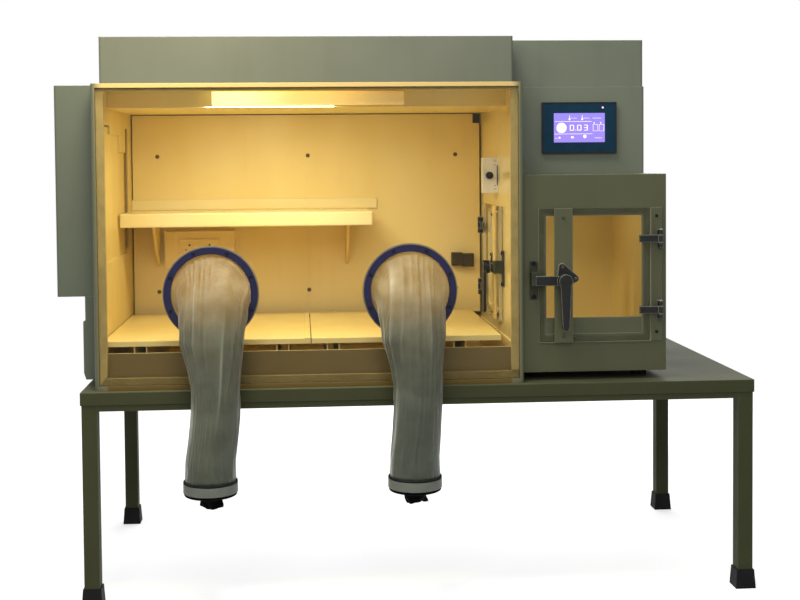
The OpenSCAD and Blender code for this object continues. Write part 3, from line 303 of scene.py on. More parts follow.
soft_lamp("overhead", (-0.5, -0.60, 2.6), (-0.3, -0.3, 0.9), (1.2, 0.3), 32)
soft_lamp("room_left", (-0.5, -0.7, 1.6), (-0.6, -0.14, 1.23), (0.3, 0.3), 4.0, GOLDEN)
soft_lamp("front_high", (-0.3, -3.2, 2.4), (0.0, 0.0, 0.9), (2.4, 1.6), 32)
soft_lamp("behind", (0.6, 2.6, 2.2), (0.0, 0.0, 0.8), (2.6, 1.8), 44)
diffuser_low, diffuser_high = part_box("lamp_diffuser")
glow_y = (diffuser_low.y + diffuser_high.y) / 2
glow_x = diffuser_low.x + GLOW_SHARE * (diffuser_high.x - diffuser_low.x)
soft_lamp("chamber_glow", (glow_x, glow_y, diffuser_low.z - GLOW_UNDER), (glow_x, glow_y + 0.1, 0.2),
          (0.30, 0.05), 2.6, WARM)
shell_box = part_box("airlock_shell")
shell_mid = (shell_box[0] + shell_box[1]) / 2
soft_lamp("airlock_glow", (*shell_mid.xy, shell_box[1].z - AIRLOCK_UNDER), (*shell_mid.xy, 0.5),
          (0.12, 0.12), 0.17, WARM)
print("chamber lamp at", round(glow_x, 3), round(glow_y, 3))

# %% [markdown]
# ## Painted sheet metal
# The case, the airlock, the control box and the stand are folded steel with a satin grey-green powder coat:
# a fine orange-peel skin and a little dust on level faces. The edges are lighter, partly from wear and partly
# as a painted highlight. The recipe is the same for every panel, so one function writes it and each call
# gives it a shade; the darker shades of the stand and the airlock front are partly painted shade. Round the
# window the frame's call paints warm lamp light as a golden band, and a brown shade along the sill.

# %% Paint finishes
DUST, PEEL, POST_W = srgb(196, 194, 178), 0.00012, 28 * MM
frame_low, frame_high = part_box("front_frame")
frame_mid = (frame_low + frame_high) / 2
HALF_SPAN = (frame_high.x - frame_low.x) / 2


def powder_coat(name, colour, edge_tone, dust=0.12, rough=0.42, gloss=0.3, painted_glow=None):
    finish = Finish(name, Specular_IOR_Level=gloss)
    patch = finish.noise(5.0, 3.0).between(0.3, 0.7)
    streak = finish.noise(24.0, 4.0, (1, 1, 0.12)).between(0.45, 0.8)
    edge, rounded = finish.edges(2.2 * MM)
    upward = finish.axis("Z", finish.normal()).between(0.6, 0.95)
    speck = finish.noise(420.0, 3.0).between(0.4, 0.75)
    body = finish.mix(patch * 0.6 + streak * 0.4, colour, scaled(colour, 0.86))
    body = finish.mix(upward * speck * dust, body, DUST)
    # Edges lighter: partly wear, partly a painted highlight.
    body = finish.mix(edge * 0.55, body, edge_tone)
    # The frame's painted lamp light and sill shade, where a call gives them.
    if painted_glow:
        body = painted_glow(finish, body)
    finish.set(Base_Color=body, Roughness=speck * 0.10 + patch * 0.06 + rough - edge * 0.08)
    finish.bump(finish.noise(950.0, 1.0), PEEL, 0.30, rounded)
    return finish


def painted_lamp_glow(finish, body):
    """Painted lamp light on the frame: golden beside the window and under the header, and a brown painted
    shade along the sill.
    """
    off, level, inside_edge = abs(finish.axis("X") - frame_mid.x), finish.axis("Z"), HALF_SPAN - POST_W
    inner = 1 - off.between(inside_edge, HALF_SPAN - 3 * MM)
    low = 1 - level.between(frame_low.z + 20 * MM, frame_low.z + 60 * MM)
    sill = low * (1 - off.between(inside_edge - 3 * MM, inside_edge + 3 * MM))
    inner = inner * (1 - low * 0.8) * (1 - finish.axis("Z", finish.normal()).above(0.6))
    header = level.between(frame_high.z - 34 * MM, frame_high.z - 14 * MM)
    golden = finish.mix(header, srgb(186, 164, 104), srgb(238, 206, 132))
    return finish.mix(sill, finish.mix(inner, body, golden), srgb(116, 94, 42))


CASE_GREEN = srgb(118, 124, 106)
dress(powder_coat("canopy_paint", srgb(116, 119, 103), srgb(162, 164, 143)), "canopy")
dress(powder_coat("case_paint", CASE_GREEN, srgb(166, 170, 150)),
      "rear_wall_panel", "control_case", "control_top")
# The stand's paint is darker than the case's, partly its own tone and partly painted shade.
dress(powder_coat("stand_shaded_paint", srgb(77, 79, 54), srgb(116, 119, 98), 0.06, 0.6, 0.15),
      "stand_top", "stand_legs", "stand_rails")
dress(powder_coat("frame_paint", srgb(116, 117, 92), srgb(136, 134, 106), painted_glow=painted_lamp_glow),
      "front_frame")
side_paint = dress(powder_coat("side_paint", srgb(108, 114, 97), srgb(156, 160, 140)),
                   "lower_side_panel", "lower_side_cover")
# The airlock front's paint is darker than the case's, partly its own tone and partly painted shade.
airlock_shaded_paint = dress(powder_coat("airlock_shaded_paint", srgb(91, 93, 66), srgb(186, 188, 166)), "airlock_front")
pan_paint = powder_coat("pan_paint", srgb(108, 88, 40), srgb(150, 130, 78))
print("paint:", side_paint.material.name, airlock_shaded_paint.material.name, pan_paint.material.name)

# %% [markdown]
# ## The cream inside
# The chamber is lined with pale cream sheets, and the warm lamp turns them golden. Their cream is also tinted
# towards gold, and some copies are lighter or darker than others: that part is painted lamp light. The coat
# is smoother than the outside one, with faint wipe marks and soft stains. Under the roof a dark band paints
# the shade of the gap above the back panel, and beside the left wall's air slot a brown band paints its
# shade. The walls and the roof are single solids that also show outside, so a mask by position gives their
# outer faces the grey-green of the case. That is simpler than a second set of meshes.

# %% Lining finish
CREAM, CREAM_STAIN, CREAM_EDGE_HIGHLIGHT = srgb(240, 216, 142), srgb(228, 200, 116), srgb(250, 234, 176)
SEAM_GAP_SHADE, SLOT_SHADE = srgb(70, 48, 14), srgb(122, 88, 24)
OUTSIDE_ROUGH = 0.45


def lining(name, colour, stain, rough=0.38, turned=1.8 * MM, gap_shade_z=None, slot=None, outside=None):
    finish = Finish(name)
    wiped = finish.noise(9.0, 4.0, (1, 1, 0.35)).between(0.35, 0.75)
    cloud = finish.noise(2.2, 2.0).between(0.3, 0.7)
    edge, rounded = finish.edges(turned)
    body = finish.mix(wiped * 0.35 + cloud * 0.35, colour, stain)
    # A dark band under the top edge: painted shade of the gap between the back panel and the roof.
    if gap_shade_z:
        body = finish.mix(finish.axis("Z").above(gap_shade_z), body, SEAM_GAP_SHADE)
    # A brown band beside the air slot, from its foot up: painted shade of the recess.
    if slot:
        middle, foot, top = slot
        close = 1 - abs(finish.axis("Y") - middle).between(8 * MM, 26 * MM)
        level = finish.axis("Z")
        along = level.between(foot, foot + 20 * MM) * (1 - level.above(top))
        body = finish.mix(close * along * 0.8, body, SLOT_SHADE)
    # Edges lighter: a painted highlight, widest on the shelf's rounded lip.
    body, gloss = finish.mix(edge * 0.35, body, CREAM_EDGE_HIGHLIGHT), wiped * 0.12 + rough
    if outside:
        skin = outside(finish)
        body, gloss = finish.mix(skin, body, CASE_GREEN), gloss + skin * (OUTSIDE_ROUGH - rough)
    finish.set(Base_Color=body, Roughness=gloss)
    finish.bump(finish.noise(700.0, 1.0), 0.00010, 0.22, rounded)
    return finish


print("cream", [round(c, 3) for c in CREAM[:3]])

# %% Outer faces of walls and roof
SKIN, SHELL_WALL = 1 * MM, 3 * MM
wall_low, wall_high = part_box("left_wall")
roof_top, far_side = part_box("chamber_roof")[1].z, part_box("right_wall")[1].x


def top_side(finish):
    return finish.axis("Z").above(roof_top - SKIN)


def left_side(finish):
    return 1 - finish.axis("X").above(wall_low.x + SKIN) * (1 - top_side(finish))


def right_side(finish):
    """The wall's far face, less the part that the airlock closes off."""
    within = 1
    for axis, low, high in zip("YZ", shell_box[0].yz, shell_box[1].yz):
        along = finish.axis(axis)
        within = along.above(low + SHELL_WALL) * (1 - along.above(high - SHELL_WALL)) * within
    return 1 - (1 - finish.axis("X").above(far_side - SKIN) * (1 - within)) * (1 - top_side(finish))


print("outer faces at", round(wall_low.x, 4), round(far_side, 4), round(roof_top, 4))

# %% Line the chamber
GAP_SHADE_H, RIM = 2.6 * MM, 5 * MM
slot_rim = [v.co for v in NODE["left_wall"].data.vertices
            if all(wall_low[i] + RIM < v.co[i] < wall_high[i] - RIM for i in (1, 2))]
slot_y, slot_levels = max(p.y for p in slot_rim), [p.z for p in slot_rim]
slot_foot, slot_top = min(slot_levels), max(slot_levels)
cream_sheet = lining("cream_sheet", CREAM, CREAM_STAIN)
dress(cream_sheet, "shelf_brackets", "socket_box", "lamp_base", "tray_bearers")
dress(lining("panel_sheet", CREAM, CREAM_STAIN, gap_shade_z=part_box("back_panel")[1].z - GAP_SHADE_H), "back_panel")
dress(lining("slot_sheet", srgb(226, 200, 122), srgb(214, 184, 100), slot=(slot_y, slot_foot, slot_top),
             outside=left_side), "left_wall")
dress(lining("tray_sheet", srgb(228, 203, 126), srgb(216, 188, 106), 0.32), "work_trays")
dress(lining("shelf_sheet", srgb(244, 226, 162), srgb(235, 211, 138), 0.14, turned=7 * MM),
      "shelf", "shelf_rail")
dress(lining("gloss_sheet", srgb(246, 228, 162), srgb(234, 210, 138), 0.08, outside=right_side),
      "right_wall")
dress(lining("roof_sheet", srgb(250, 233, 168), srgb(242, 219, 142), outside=top_side), "chamber_roof")
print("air slot from", round(slot_foot, 3), "to", round(slot_top, 3), "at", round(slot_y, 3))

# %% [markdown]
# ## Clear acrylic
# The front window and both airlock doors are clear sheets. Their faces nearly vanish, with a little haze
# and fine scratches, but light gathers in the sawn edges. A face belongs to an edge when its normal leaves
# the sheet's own direction, so the opacity follows that normal.


# %% Acrylic finish
def acrylic(name, across):
    finish = Finish(name, Roughness=0.04, IOR=1.49)
    flat = abs(finish.axis(across, finish.normal()))
    scratch = finish.noise(60.0, 5.0, (1, 1, 0.06)).between(0.62, 0.70)
    haze = finish.noise(4.0, 3.0).between(0.35, 0.8)
    sawn = 1 - flat.between(0.2, 0.8)
    finish.set(Base_Color=finish.mix(sawn, srgb(190, 190, 180), srgb(226, 222, 190)),
               Alpha=haze * 0.010 + scratch * 0.012 + sawn * 0.45 + 0.010)
    return finish


window_sheet = dress(acrylic("window_sheet", "Y"), "front_window", "outer_door")
inner_sheet = dress(acrylic("inner_sheet", "X"), "inner_door")
print("clear:", window_sheet.material.name, inner_sheet.material.name)

# %% [markdown]
# ## Rubber, plastics and metals
# The feet, the o-rings and the wrists are matt black rubber. The outer door's seal takes the olive of the
# shaded airlock front, a painted shade, and the seals of the window and the inner door are amber, partly
# painted lamp light. The port rings are turned from navy plastic. Their fine grooves need no mesh: both bores
# lie at the same distance from the middle, so one formula gives the radius for both, and a bump does the
# rest. Levers, keepers and hinges are cast, dark and slightly metallic, with edges rubbed bright and a
# painted highlight along them.


# %% Moulded finishes
def moulded(name, colour, rough, grain=900.0, depth=0.00012, edge_tone=None, gloss=0.5):
    finish = Finish(name, Specular_IOR_Level=gloss)
    cloud = finish.noise(30.0, 3.0).between(0.3, 0.75)
    edge, rounded = finish.edges(1.2 * MM)
    body = finish.mix(cloud, colour, scaled(colour, 0.82))
    # Edges shift in tone: wear, and on the black pieces a painted highlight.
    finish.set(Base_Color=finish.mix(edge * 0.4, body, edge_tone or colour), Roughness=cloud * 0.12 + rough)
    finish.bump(finish.noise(grain, 2.0), depth, 0.4, rounded)
    return finish


dress(moulded("black_rubber", srgb(14, 14, 14), 0.62, edge_tone=srgb(34, 34, 33), gloss=0.15),
      "stand_feet", "cuff_o_rings", "wrist_cuffs", "airlock_feet")
# The outer door's seal in the shaded airlock front's olive: a painted shade.
olive_shaded_seal = moulded("olive_shaded_seal", srgb(80, 80, 56), 0.6, gloss=0.2)
# Amber seals, partly painted lamp light.
amber_lamp_lit_seal = dress(moulded("amber_lamp_lit_seal", srgb(180, 157, 96), 0.6, gloss=0.2), "window_gasket")
# White flanges given a brownish grey: painted shade.
dress(moulded("flange_shaded_plastic", srgb(158, 142, 104), 0.5), "port_flanges")
dress(moulded("white_plastic", srgb(238, 232, 212), 0.4), "thermostat_body", "fan_impeller")
dress(moulded("cuff_plastic", srgb(124, 128, 116), 0.45), "cuff_rings")
black_plastic = dress(moulded("black_plastic", srgb(20, 20, 22), 0.4, edge_tone=srgb(50, 50, 52), gloss=0.25),
                      "thermostat_knob", "rear_inlets", "fan_motor")
dress(moulded("brown_plastic", srgb(62, 51, 26), 0.5, edge_tone=srgb(110, 94, 54), gloss=0.2), "sensor_blocks")
brown_screw = dress(moulded("brown_screw", srgb(104, 76, 30), 0.5, edge_tone=srgb(140, 110, 60), gloss=0.3),
                    "back_panel_fixings")
black_screw = dress(moulded("black_screw", srgb(14, 14, 18), 0.5, edge_tone=srgb(40, 40, 48), gloss=0.2),
                    "port_screws")
print("moulded:", black_plastic.material.name, olive_shaded_seal.material.name)


# %% Cast finishes
def cast_metal(name, colour, rubbed_and_highlight, rough=0.36, metal=0.75, rim=1.6 * MM):
    finish = Finish(name, Metallic=metal, Specular_IOR_Level=0.3)
    cloud = finish.noise(70.0, 4.0).between(0.3, 0.7)
    edge, rounded = finish.edges(rim)
    body = finish.mix(cloud, colour, scaled(colour, 0.7))
    # Edges go towards the rubbed colour: rubbed metal, and a painted highlight along the rims.
    finish.set(Base_Color=finish.mix(edge * 0.7, body, rubbed_and_highlight), Roughness=cloud * 0.16 + rough - edge * 0.12)
    finish.bump(finish.noise(420.0, 2.0), 0.0002, 0.35, rounded)
    return finish


gunmetal = dress(cast_metal("gunmetal", srgb(24, 25, 21), srgb(190, 190, 178), 0.42, 0.25, 3 * MM),
                 "outer_lever", "inner_lever")
dress(cast_metal("keeper_metal", srgb(50, 54, 38), srgb(96, 100, 78), 0.5, 0.1), "keepers")
dress(cast_metal("zinc_sheet", srgb(176, 176, 172), srgb(206, 206, 202), 0.3, 0.9),
      "catalyst_box", "hinge_pins")
dark_screw = cast_metal("dark_screw", srgb(34, 32, 26), srgb(150, 146, 130), 0.45, 0.4)
print("cast:", gunmetal.material.name, dark_screw.material.name)

# %% Port rings
GROOVE = 1.1 * MM
ring_low, ring_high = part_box("port_rings")
ring_mid = (ring_low + ring_high) / 2
RING_OUT = (ring_high.z - ring_low.z) / 2
PORT_HALF = (ring_high.x - ring_low.x) / 2 - RING_OUT
navy_ring = Finish("navy_ring", Specular_IOR_Level=0.3)
off_x = abs(navy_ring.axis("X") - ring_mid.x) - PORT_HALF
off_z = navy_ring.axis("Z") - ring_mid.z
radius = (off_x * off_x + off_z * off_z) ** 0.5
smear = navy_ring.noise(45.0, 4.0).between(0.35, 0.75)
edge, rounded = navy_ring.edges(1.8 * MM)
navy = navy_ring.mix(smear, srgb(25, 24, 68), srgb(17, 16, 46))
navy_ring.set(Base_Color=navy_ring.mix(edge * 0.6, navy, srgb(60, 60, 110)), Roughness=smear * 0.14 + 0.40)
navy_ring.bump((radius * (2 * math.pi / GROOVE)).sine(), 0.00006, 0.25, rounded)
dress(navy_ring, "port_rings")
print("ports", round(PORT_HALF, 4), "off the middle, radius", round(RING_OUT, 4))

# %% [markdown]
# ## The lit parts
# The opal diffuser is brightest where the tube burns and fades towards its right end. The display glows
# violet-blue. A lamp behind translucent plastic would be slow and grainy, so both send their light out
# through the Emission Color of their own finish.

# %% Lamp finish
BRIGHT_TO, TURNED_BY, FADES_FROM = 0.06, 0.22, 0.20
opal = Finish("opal_diffuser", Roughness=0.35, Emission_Strength=1.0)
near_end = opal.axis("X").between(diffuser_low.x + BRIGHT_TO, diffuser_low.x + TURNED_BY)
far_end = opal.axis("X").between(diffuser_low.x + FADES_FROM, diffuser_high.x)
burning = opal.mix(near_end, (1.0, 0.95, 0.42, 1.0), (0.90, 0.56, 0.14, 1.0))
opal.set(Base_Color=opal.mix(near_end, srgb(255, 246, 214), srgb(246, 222, 160)),
         Emission_Color=opal.mix(far_end, burning, (0.20, 0.12, 0.03, 1.0)))
dress(opal, "lamp_diffuser", "lamp_tube")
print("diffuser from", round(diffuser_low.x, 3), "to", round(diffuser_high.x, 3))

# %% Display finish
PIXEL = 0.9 * MM
dress(moulded("bezel_plastic", srgb(10, 52, 74), 0.45, edge_tone=srgb(8, 20, 28), gloss=0.15), "screen_bezel")
screen_low, screen_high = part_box("screen")
lit_glass = Finish("lit_glass", Roughness=0.12, Emission_Strength=1.0)
down = lit_glass.axis("Z").between(screen_low.z, screen_high.z)
wave_x, wave_z = ((lit_glass.axis(axis) * (2 * math.pi / PIXEL)).sine() for axis in "XZ")
glow = lit_glass.mix(down * 0.6 + wave_x * wave_z * 0.1, (0.36, 0.26, 0.90, 1.0), (0.30, 0.25, 0.92, 1.0))
lit_glass.set(Base_Color=srgb(40, 34, 90), Emission_Color=glow)
dress(lit_glass, "screen")
print("display", [round(v, 3) for v in screen_low])

# %% [markdown]
# ## Small helpers for pieces
# A CAD node can hold several loose pieces, such as a set of screws, and their boxes say where each one
# sits. A node that is one solid of two finishes gets its faces sorted by where they lie.


# %% Helpers for pieces
def loose_boxes(name):
    """Lowest and highest corner of each loose piece of a CAD node, from a merged copy of its mesh."""
    copy = bmesh.new()
    copy.from_mesh(NODE[name].data)
    bmesh.ops.remove_doubles(copy, verts=copy.verts, dist=1e-6)
    waiting, boxes = set(copy.verts), []
    while waiting:
        queue, island = [waiting.pop()], []
        while queue:
            vertex = queue.pop()
            island.append(list(vertex.co))
            fresh = {link.other_vert(vertex) for link in vertex.link_edges} & waiting
            waiting -= fresh
            queue += fresh
        boxes.append((Vector(np.min(island, 0)), Vector(np.max(island, 0))))
    copy.free()
    return sorted(boxes, key=lambda box: tuple(round(v, 4) for v in box[0]))


def dress_faces(name, finishes, choose):
    """Gives each face of a CAD node the finish that choose(centre, normal) numbers."""
    dress(finishes[0], name)
    for finish in finishes[1:]:
        NODE[name].data.materials.append(finish.material)
    for face in NODE[name].data.polygons:
        face.material_index = int(choose(face.center, face.normal))


def new_piece(name, points, faces, finish, smooth=True):
    """A mesh object at the origin, with its place in its points."""
    mesh = bpy.data.meshes.new(name)
    mesh.from_pydata([tuple(p) for p in points], [], faces)
    mesh.materials.append(finish.material)
    if smooth:
        mesh.shade_smooth()
    piece = bpy.data.objects.new(name, mesh)
    scene.collection.objects.link(piece)
    return piece


def fixed(piece):
    """The piece with its modifiers turned into a plain mesh."""
    shape = bpy.data.meshes.new_from_object(piece.evaluated_get(bpy.context.evaluated_depsgraph_get()))
    piece.modifiers.clear()
    piece.data = shape
    return piece


print("screws in the rings:", len(loose_boxes("port_screws")))

# %% [markdown]
# ## The sleeves
# Each sleeve is a tube of thin milky film. It is clamped in the port ring, tips over the ring's lower edge
# and hangs to a cuff ring. The wide mouth has more film than the waist needs, so the spare film falls in
# long folds that run together downwards. Simulated cloth alone would pile up on the cuff, so the tube is
# lofted along its path with creased folds first. A short simulation, held at the ring and ever more firmly
# towards the cuff, then slackens the film, and its movement is evened out along the sleeve.

# %% Sleeve rows
RING_BORE, FILM_GAP, FILM_T = 88.5 * MM, 0.3 * MM, 0.5 * MM
MOUTH_R = RING_BORE - FILM_GAP
BEND_PINCH, BEND_IN, BEND_DIP = 8 * MM, 20 * MM, 14 * MM
TOP_HALF_W, TOP_HALF_D = 71 * MM, 50 * MM
WAIST_R, WAIST_AT, CUFF_R, CUFF_GRIP = 53 * MM, 0.62, 54.5 * MM, 12 * MM
SLEEVE_SIDES, BEND_ROWS, HANG_ROWS, CUFF_ROWS = 220, 26, 60, 40
cuff_low, cuff_high = loose_boxes("cuff_rings")[0]
cuff_y, cuff_top = (cuff_low.y + cuff_high.y) / 2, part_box("sleeve_left")[0].z
pivot_z = ring_mid.z - MOUTH_R - BEND_PINCH


def sleeve_stations():
    """Rows along a sleeve: y, z and tilt of the section, half width, half depth, slack, share of the drop."""
    rows = [(ring_high.y - FILM_GAP, ring_mid.z, 0.0, MOUTH_R, MOUTH_R, 0.0, 0.0)]
    for i in range(BEND_ROWS + 1):
        f = i / BEND_ROWS
        half = MOUTH_R + (TOP_HALF_D - MOUTH_R) * f - BEND_DIP * math.sin(math.pi * f)
        reach = BEND_PINCH + (BEND_IN - BEND_PINCH) * f + half
        tilt = math.pi / 2 * f
        rows.append((ring_low.y - reach * math.sin(tilt), pivot_z + reach * math.cos(tilt), tilt,
                     TOP_HALF_W + (MOUTH_R - TOP_HALF_W) * (1 - f) ** 2, half, min(1.0, 0.4 + 2.5 * f), 0.0))
    top_y, top_z = rows[-1][:2]
    for i in range(1, HANG_ROWS + 1):
        t = i / HANG_ROWS
        halves = []
        for top in (TOP_HALF_W, TOP_HALF_D):
            end, share = top, 1 - t / WAIST_AT
            if t >= WAIST_AT:
                end, share = CUFF_R, (t - WAIST_AT) / (1 - WAIST_AT)
            halves.append(WAIST_R + (end - WAIST_R) * share ** 2)
        rows.append((top_y + (cuff_y - top_y) * t, top_z + (cuff_top + CUFF_GRIP - top_z) * t, math.pi / 2,
                     *halves, 1 - 0.5 * t - 0.5 * t ** 8, t))
    rows.append((cuff_y, cuff_top, math.pi / 2, CUFF_R, CUFF_R, 0.0, 1.0))
    return rows


print("rows along a sleeve:", len(sleeve_stations()))

# %% Sleeve folds
# Number of folds, share of the depth, twist, and a slow swell: its level, waves round and drift downwards.
FOLDS = ((5, 0.44, 0.0, 0.6, 0, 5), (11, 0.32, 1.3, 0.6, 2, 6), (27, 0.24, -1.6, 0.5, 3, -9))
FOLD_DEPTH, PEAK = 0.13, 0.10
PEAK_TILT, PEAK_TURN, PEAK_WIDTH = 0.25, 0.35, 0.22


def crease(turn):
    """A wave with sharp ridges and round valleys, from -1 to 1."""
    return 1 - 2 * np.abs(np.sin(turn / 2))


def near(value, middle, width):
    """1 at a middle, falling off over a width."""
    return np.exp(-((value - middle) / width) ** 2)


def sleeve_points(port_x, sway, phase):
    """Points of a tube whose folds run together downwards, and the height of its folds."""
    angle = np.linspace(0, 2 * math.pi, SLEEVE_SIDES, endpoint=False)
    points, folds = [], []
    rows = sleeve_stations()
    for i, (y, z, tilt, half_w, half_d, slack, drop) in enumerate(rows):
        t = i / (len(rows) - 1)
        drawn = angle + 0.45 * t * np.cos(angle + phase[1]) + 0.16 * np.sin(3 * angle + phase[2])
        fold = np.zeros(SLEEVE_SIDES)
        for k, (number, share, twist, level, waves, drift) in enumerate(FOLDS):
            swell = level + (1 - level) * np.cos(waves * angle + drift * t + phase[(k + 1) % len(FOLDS)])
            fold += slack * share * swell * crease(number * drawn + phase[k] + twist * t)
        size = 1 + FOLD_DEPTH * (fold - slack * (0.1 + 0.9 * near(tilt, 0.0, 0.5)))
        sides = near(angle, PEAK_TURN, PEAK_WIDTH) + near(angle, math.pi - PEAK_TURN, PEAK_WIDTH)
        peak = PEAK * near(tilt, PEAK_TILT, PEAK_WIDTH) * sides
        across, through = half_w * (size + peak) * np.cos(angle), half_d * size * np.sin(angle)
        aside = sway * math.sin(math.pi * min(1.0, 0.12 + drop)) if slack else 0.0
        points.append(np.stack([port_x + aside + across, y - through * math.sin(tilt),
                                z + through * math.cos(tilt)], axis=1))
        folds.append(fold)
    return np.array(points), np.array(folds)


def tube_faces(rows, sides):
    """Quads round a tube, row by row, facing out."""
    faces = []
    for j in range(rows - 1):
        for k in range(sides):
            a, b = j * sides + k, j * sides + (k + 1) % sides
            faces.append((a, a + sides, b + sides, b))
    return faces


print("folds round a sleeve:", [kind[0] for kind in FOLDS])

# %% Let a sleeve settle
SETTLE_FRAMES, SETTLE_CAP, SETTLE_EVEN = 24, 5 * MM, 60
RING_ROWS, END_ROWS, LIGHT_PULL = 2, 3, 0.15
CLOTH = {"quality": 5, "mass": 0.08, "tension_stiffness": 12, "compression_stiffness": 12,
         "bending_stiffness": 0.05, "vertex_group_mass": "held"}


def settle(piece, rows):
    """Lets a film sag that is held at its ring, and ever more firmly towards its cuff. Keeps the result."""
    start = np.array([v.co for v in piece.data.vertices])
    group = piece.vertex_groups.new(name="held")
    for row in range(rows):
        hold = 1.0 if row < RING_ROWS else max(0.0, 1 - (rows - END_ROWS - row) / CUFF_ROWS)
        group.add(list(range(row * SLEEVE_SIDES, (row + 1) * SLEEVE_SIDES)), min(1.0, hold), "REPLACE")
    cloth = piece.modifiers.new("settle", "CLOTH")
    for key, value in CLOTH.items():
        setattr(cloth.settings, key, value)
    cloth.settings.effector_weights.gravity = LIGHT_PULL
    cloth.collision_settings.use_collision = False
    cloth.point_cache.frame_start, cloth.point_cache.frame_end = 1, SETTLE_FRAMES
    for moment in range(1, SETTLE_FRAMES + 1):
        scene.frame_set(moment)
    fixed(piece)
    scene.frame_set(1)
    moved = (np.array([v.co for v in piece.data.vertices]) - start).reshape(rows, SLEEVE_SIDES, 3)
    for _ in range(SETTLE_EVEN):
        moved[1:-1] = (moved[:-2] + 2 * moved[1:-1] + moved[2:]) / 4
    moved = moved.reshape(-1, 3)
    far = np.linalg.norm(moved, axis=1, keepdims=True)
    kept = start + moved * np.minimum(1, SETTLE_CAP / np.maximum(far, 1e-9))
    piece.data.vertices.foreach_set("co", kept.ravel())
    piece.vertex_groups.clear()
    print(piece.name, "settled by up to", round(min(SETTLE_CAP, float(far.max())) / MM, 1), "mm")


print("film may move by", SETTLE_CAP, "m")

# %% Film finish
SHADED_BELOW_Z, LAMP_LIT_ABOVE_Z = 0.585, 0.72
film = Finish("milky_film", IOR=1.4, Specular_IOR_Level=0.45, Subsurface_Weight=1.0, Subsurface_Scale=0.004,
              Subsurface_Radius=(1.0, 0.9, 0.7), Sheen_Weight=0.35, Sheen_Roughness=0.4)
crest = film.node("ShaderNodeAttribute", {"attribute_name": "fold"}, out="Fac")
cloud = film.noise(18.0, 3.0).between(0.3, 0.75)
pleat = film.noise(110.0, 4.0, (1, 1, 0.10))
ridge = crest.between(0.05, 0.6)
upper = film.axis("Z").between(SHADED_BELOW_Z, LAMP_LIT_ABOVE_Z)
# Painted light on the film: grey-green shade low down, the golden glow of the chamber's lamp shining through
# higher up, and fold ridges lighter as a painted highlight.
shaded_hang = film.mix(ridge * 0.85 + cloud * 0.15, srgb(90, 96, 78), srgb(180, 188, 164))
lamp_lit_top = film.mix(ridge * 0.7 + cloud * 0.3, srgb(138, 121, 84), srgb(224, 215, 190))
film.set(Base_Color=film.mix(upper, shaded_hang, lamp_lit_top), Roughness=cloud * 0.12 + 0.34,
         Alpha=0.95 - upper * 0.5 + ridge * upper * 0.3)
film.bump(pleat, 0.007, 0.6)
print("film:", film.material.name)

# %% Make the sleeves
SLEEVES = {"sleeve_left": (-1, 12 * MM, (0.7, 1.9, 0.4)), "sleeve_right": (1, 9 * MM, (2.1, 0.6, 2.8))}
for node_name, (side, sway, phase) in SLEEVES.items():
    grid, folds = sleeve_points(ring_mid.x + side * PORT_HALF, sway, phase)
    count = len(grid)
    piece = new_piece(node_name + "_film", grid.reshape(-1, 3), tube_faces(count, SLEEVE_SIDES), film)
    piece.data.attributes.new("fold", "FLOAT", "POINT").data.foreach_set("value", folds.ravel())
    settle(piece, count)
    shell = piece.modifiers.new("film", "SOLIDIFY")
    shell.thickness, shell.offset = FILM_T, -1
    fixed(piece).data.shade_smooth()
    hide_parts(node_name)
    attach(piece, "cabinet")

# %% [markdown]
# ## The rubber wrists
# Under each cuff ring a black rubber disc narrows to a wrist opening that holds an arm or a glove. With
# nothing in it the soft wrist hangs crumpled. A loft whose rows shrink, lean and buckle by a few slow waves
# gives that without a second simulation.

# %% Wrist cuffs
WRIST_ROWS, WRIST_SIDES = 34, 72
WRIST_R, WRIST_LIP = 25 * MM, 1.4 * MM
RIM_UNDER, NECK_UNDER, END_OVER = 1 * MM, 9 * MM, 2 * MM
NECK_SHARE, FLAT_SHARE = 0.4, 0.3
DIP, LEAN = 3.5 * MM, 5 * MM


def wrist_points(low, high, phase):
    """Rows from the clamped rim in to the neck, and then down the crumpled wrist."""
    angle = np.linspace(0, 2 * math.pi, WRIST_SIDES, endpoint=False)
    middle, rim_r = (low + high) / 2, (high.x - low.x) / 2 - WRIST_LIP
    rim_z, neck_z, end_z = high.z - RIM_UNDER, high.z - NECK_UNDER, low.z + END_OVER
    rows = []
    for i in range(WRIST_ROWS):
        t = i / (WRIST_ROWS - 1)
        inward = min(1.0, t / NECK_SHARE)
        fall = max(0.0, (t - NECK_SHARE) / (1 - NECK_SHARE))
        curl = max(0.0, inward - FLAT_SHARE) / (1 - FLAT_SHARE) * math.pi / 2
        radius = rim_r + (WRIST_R - rim_r) * (1 - math.cos(curl))
        buckle = 0.22 * np.cos(3 * angle + phase + 2.2 * fall) + 0.10 * np.cos(7 * angle - 3 * fall)
        squeeze = 1 - 0.35 * fall * np.abs(np.sin(angle + phase))
        drop = rim_z + (neck_z - rim_z) * math.sin(inward * math.pi / 2) + (end_z - neck_z) * fall
        ring = radius * squeeze * (1 + fall * buckle)
        rows.append(np.stack([middle.x + LEAN * fall * math.sin(phase) + ring * np.cos(angle),
                              middle.y + ring * np.sin(angle),
                              drop + DIP * fall * np.cos(2 * angle + phase)], axis=1))
    return np.array(rows)


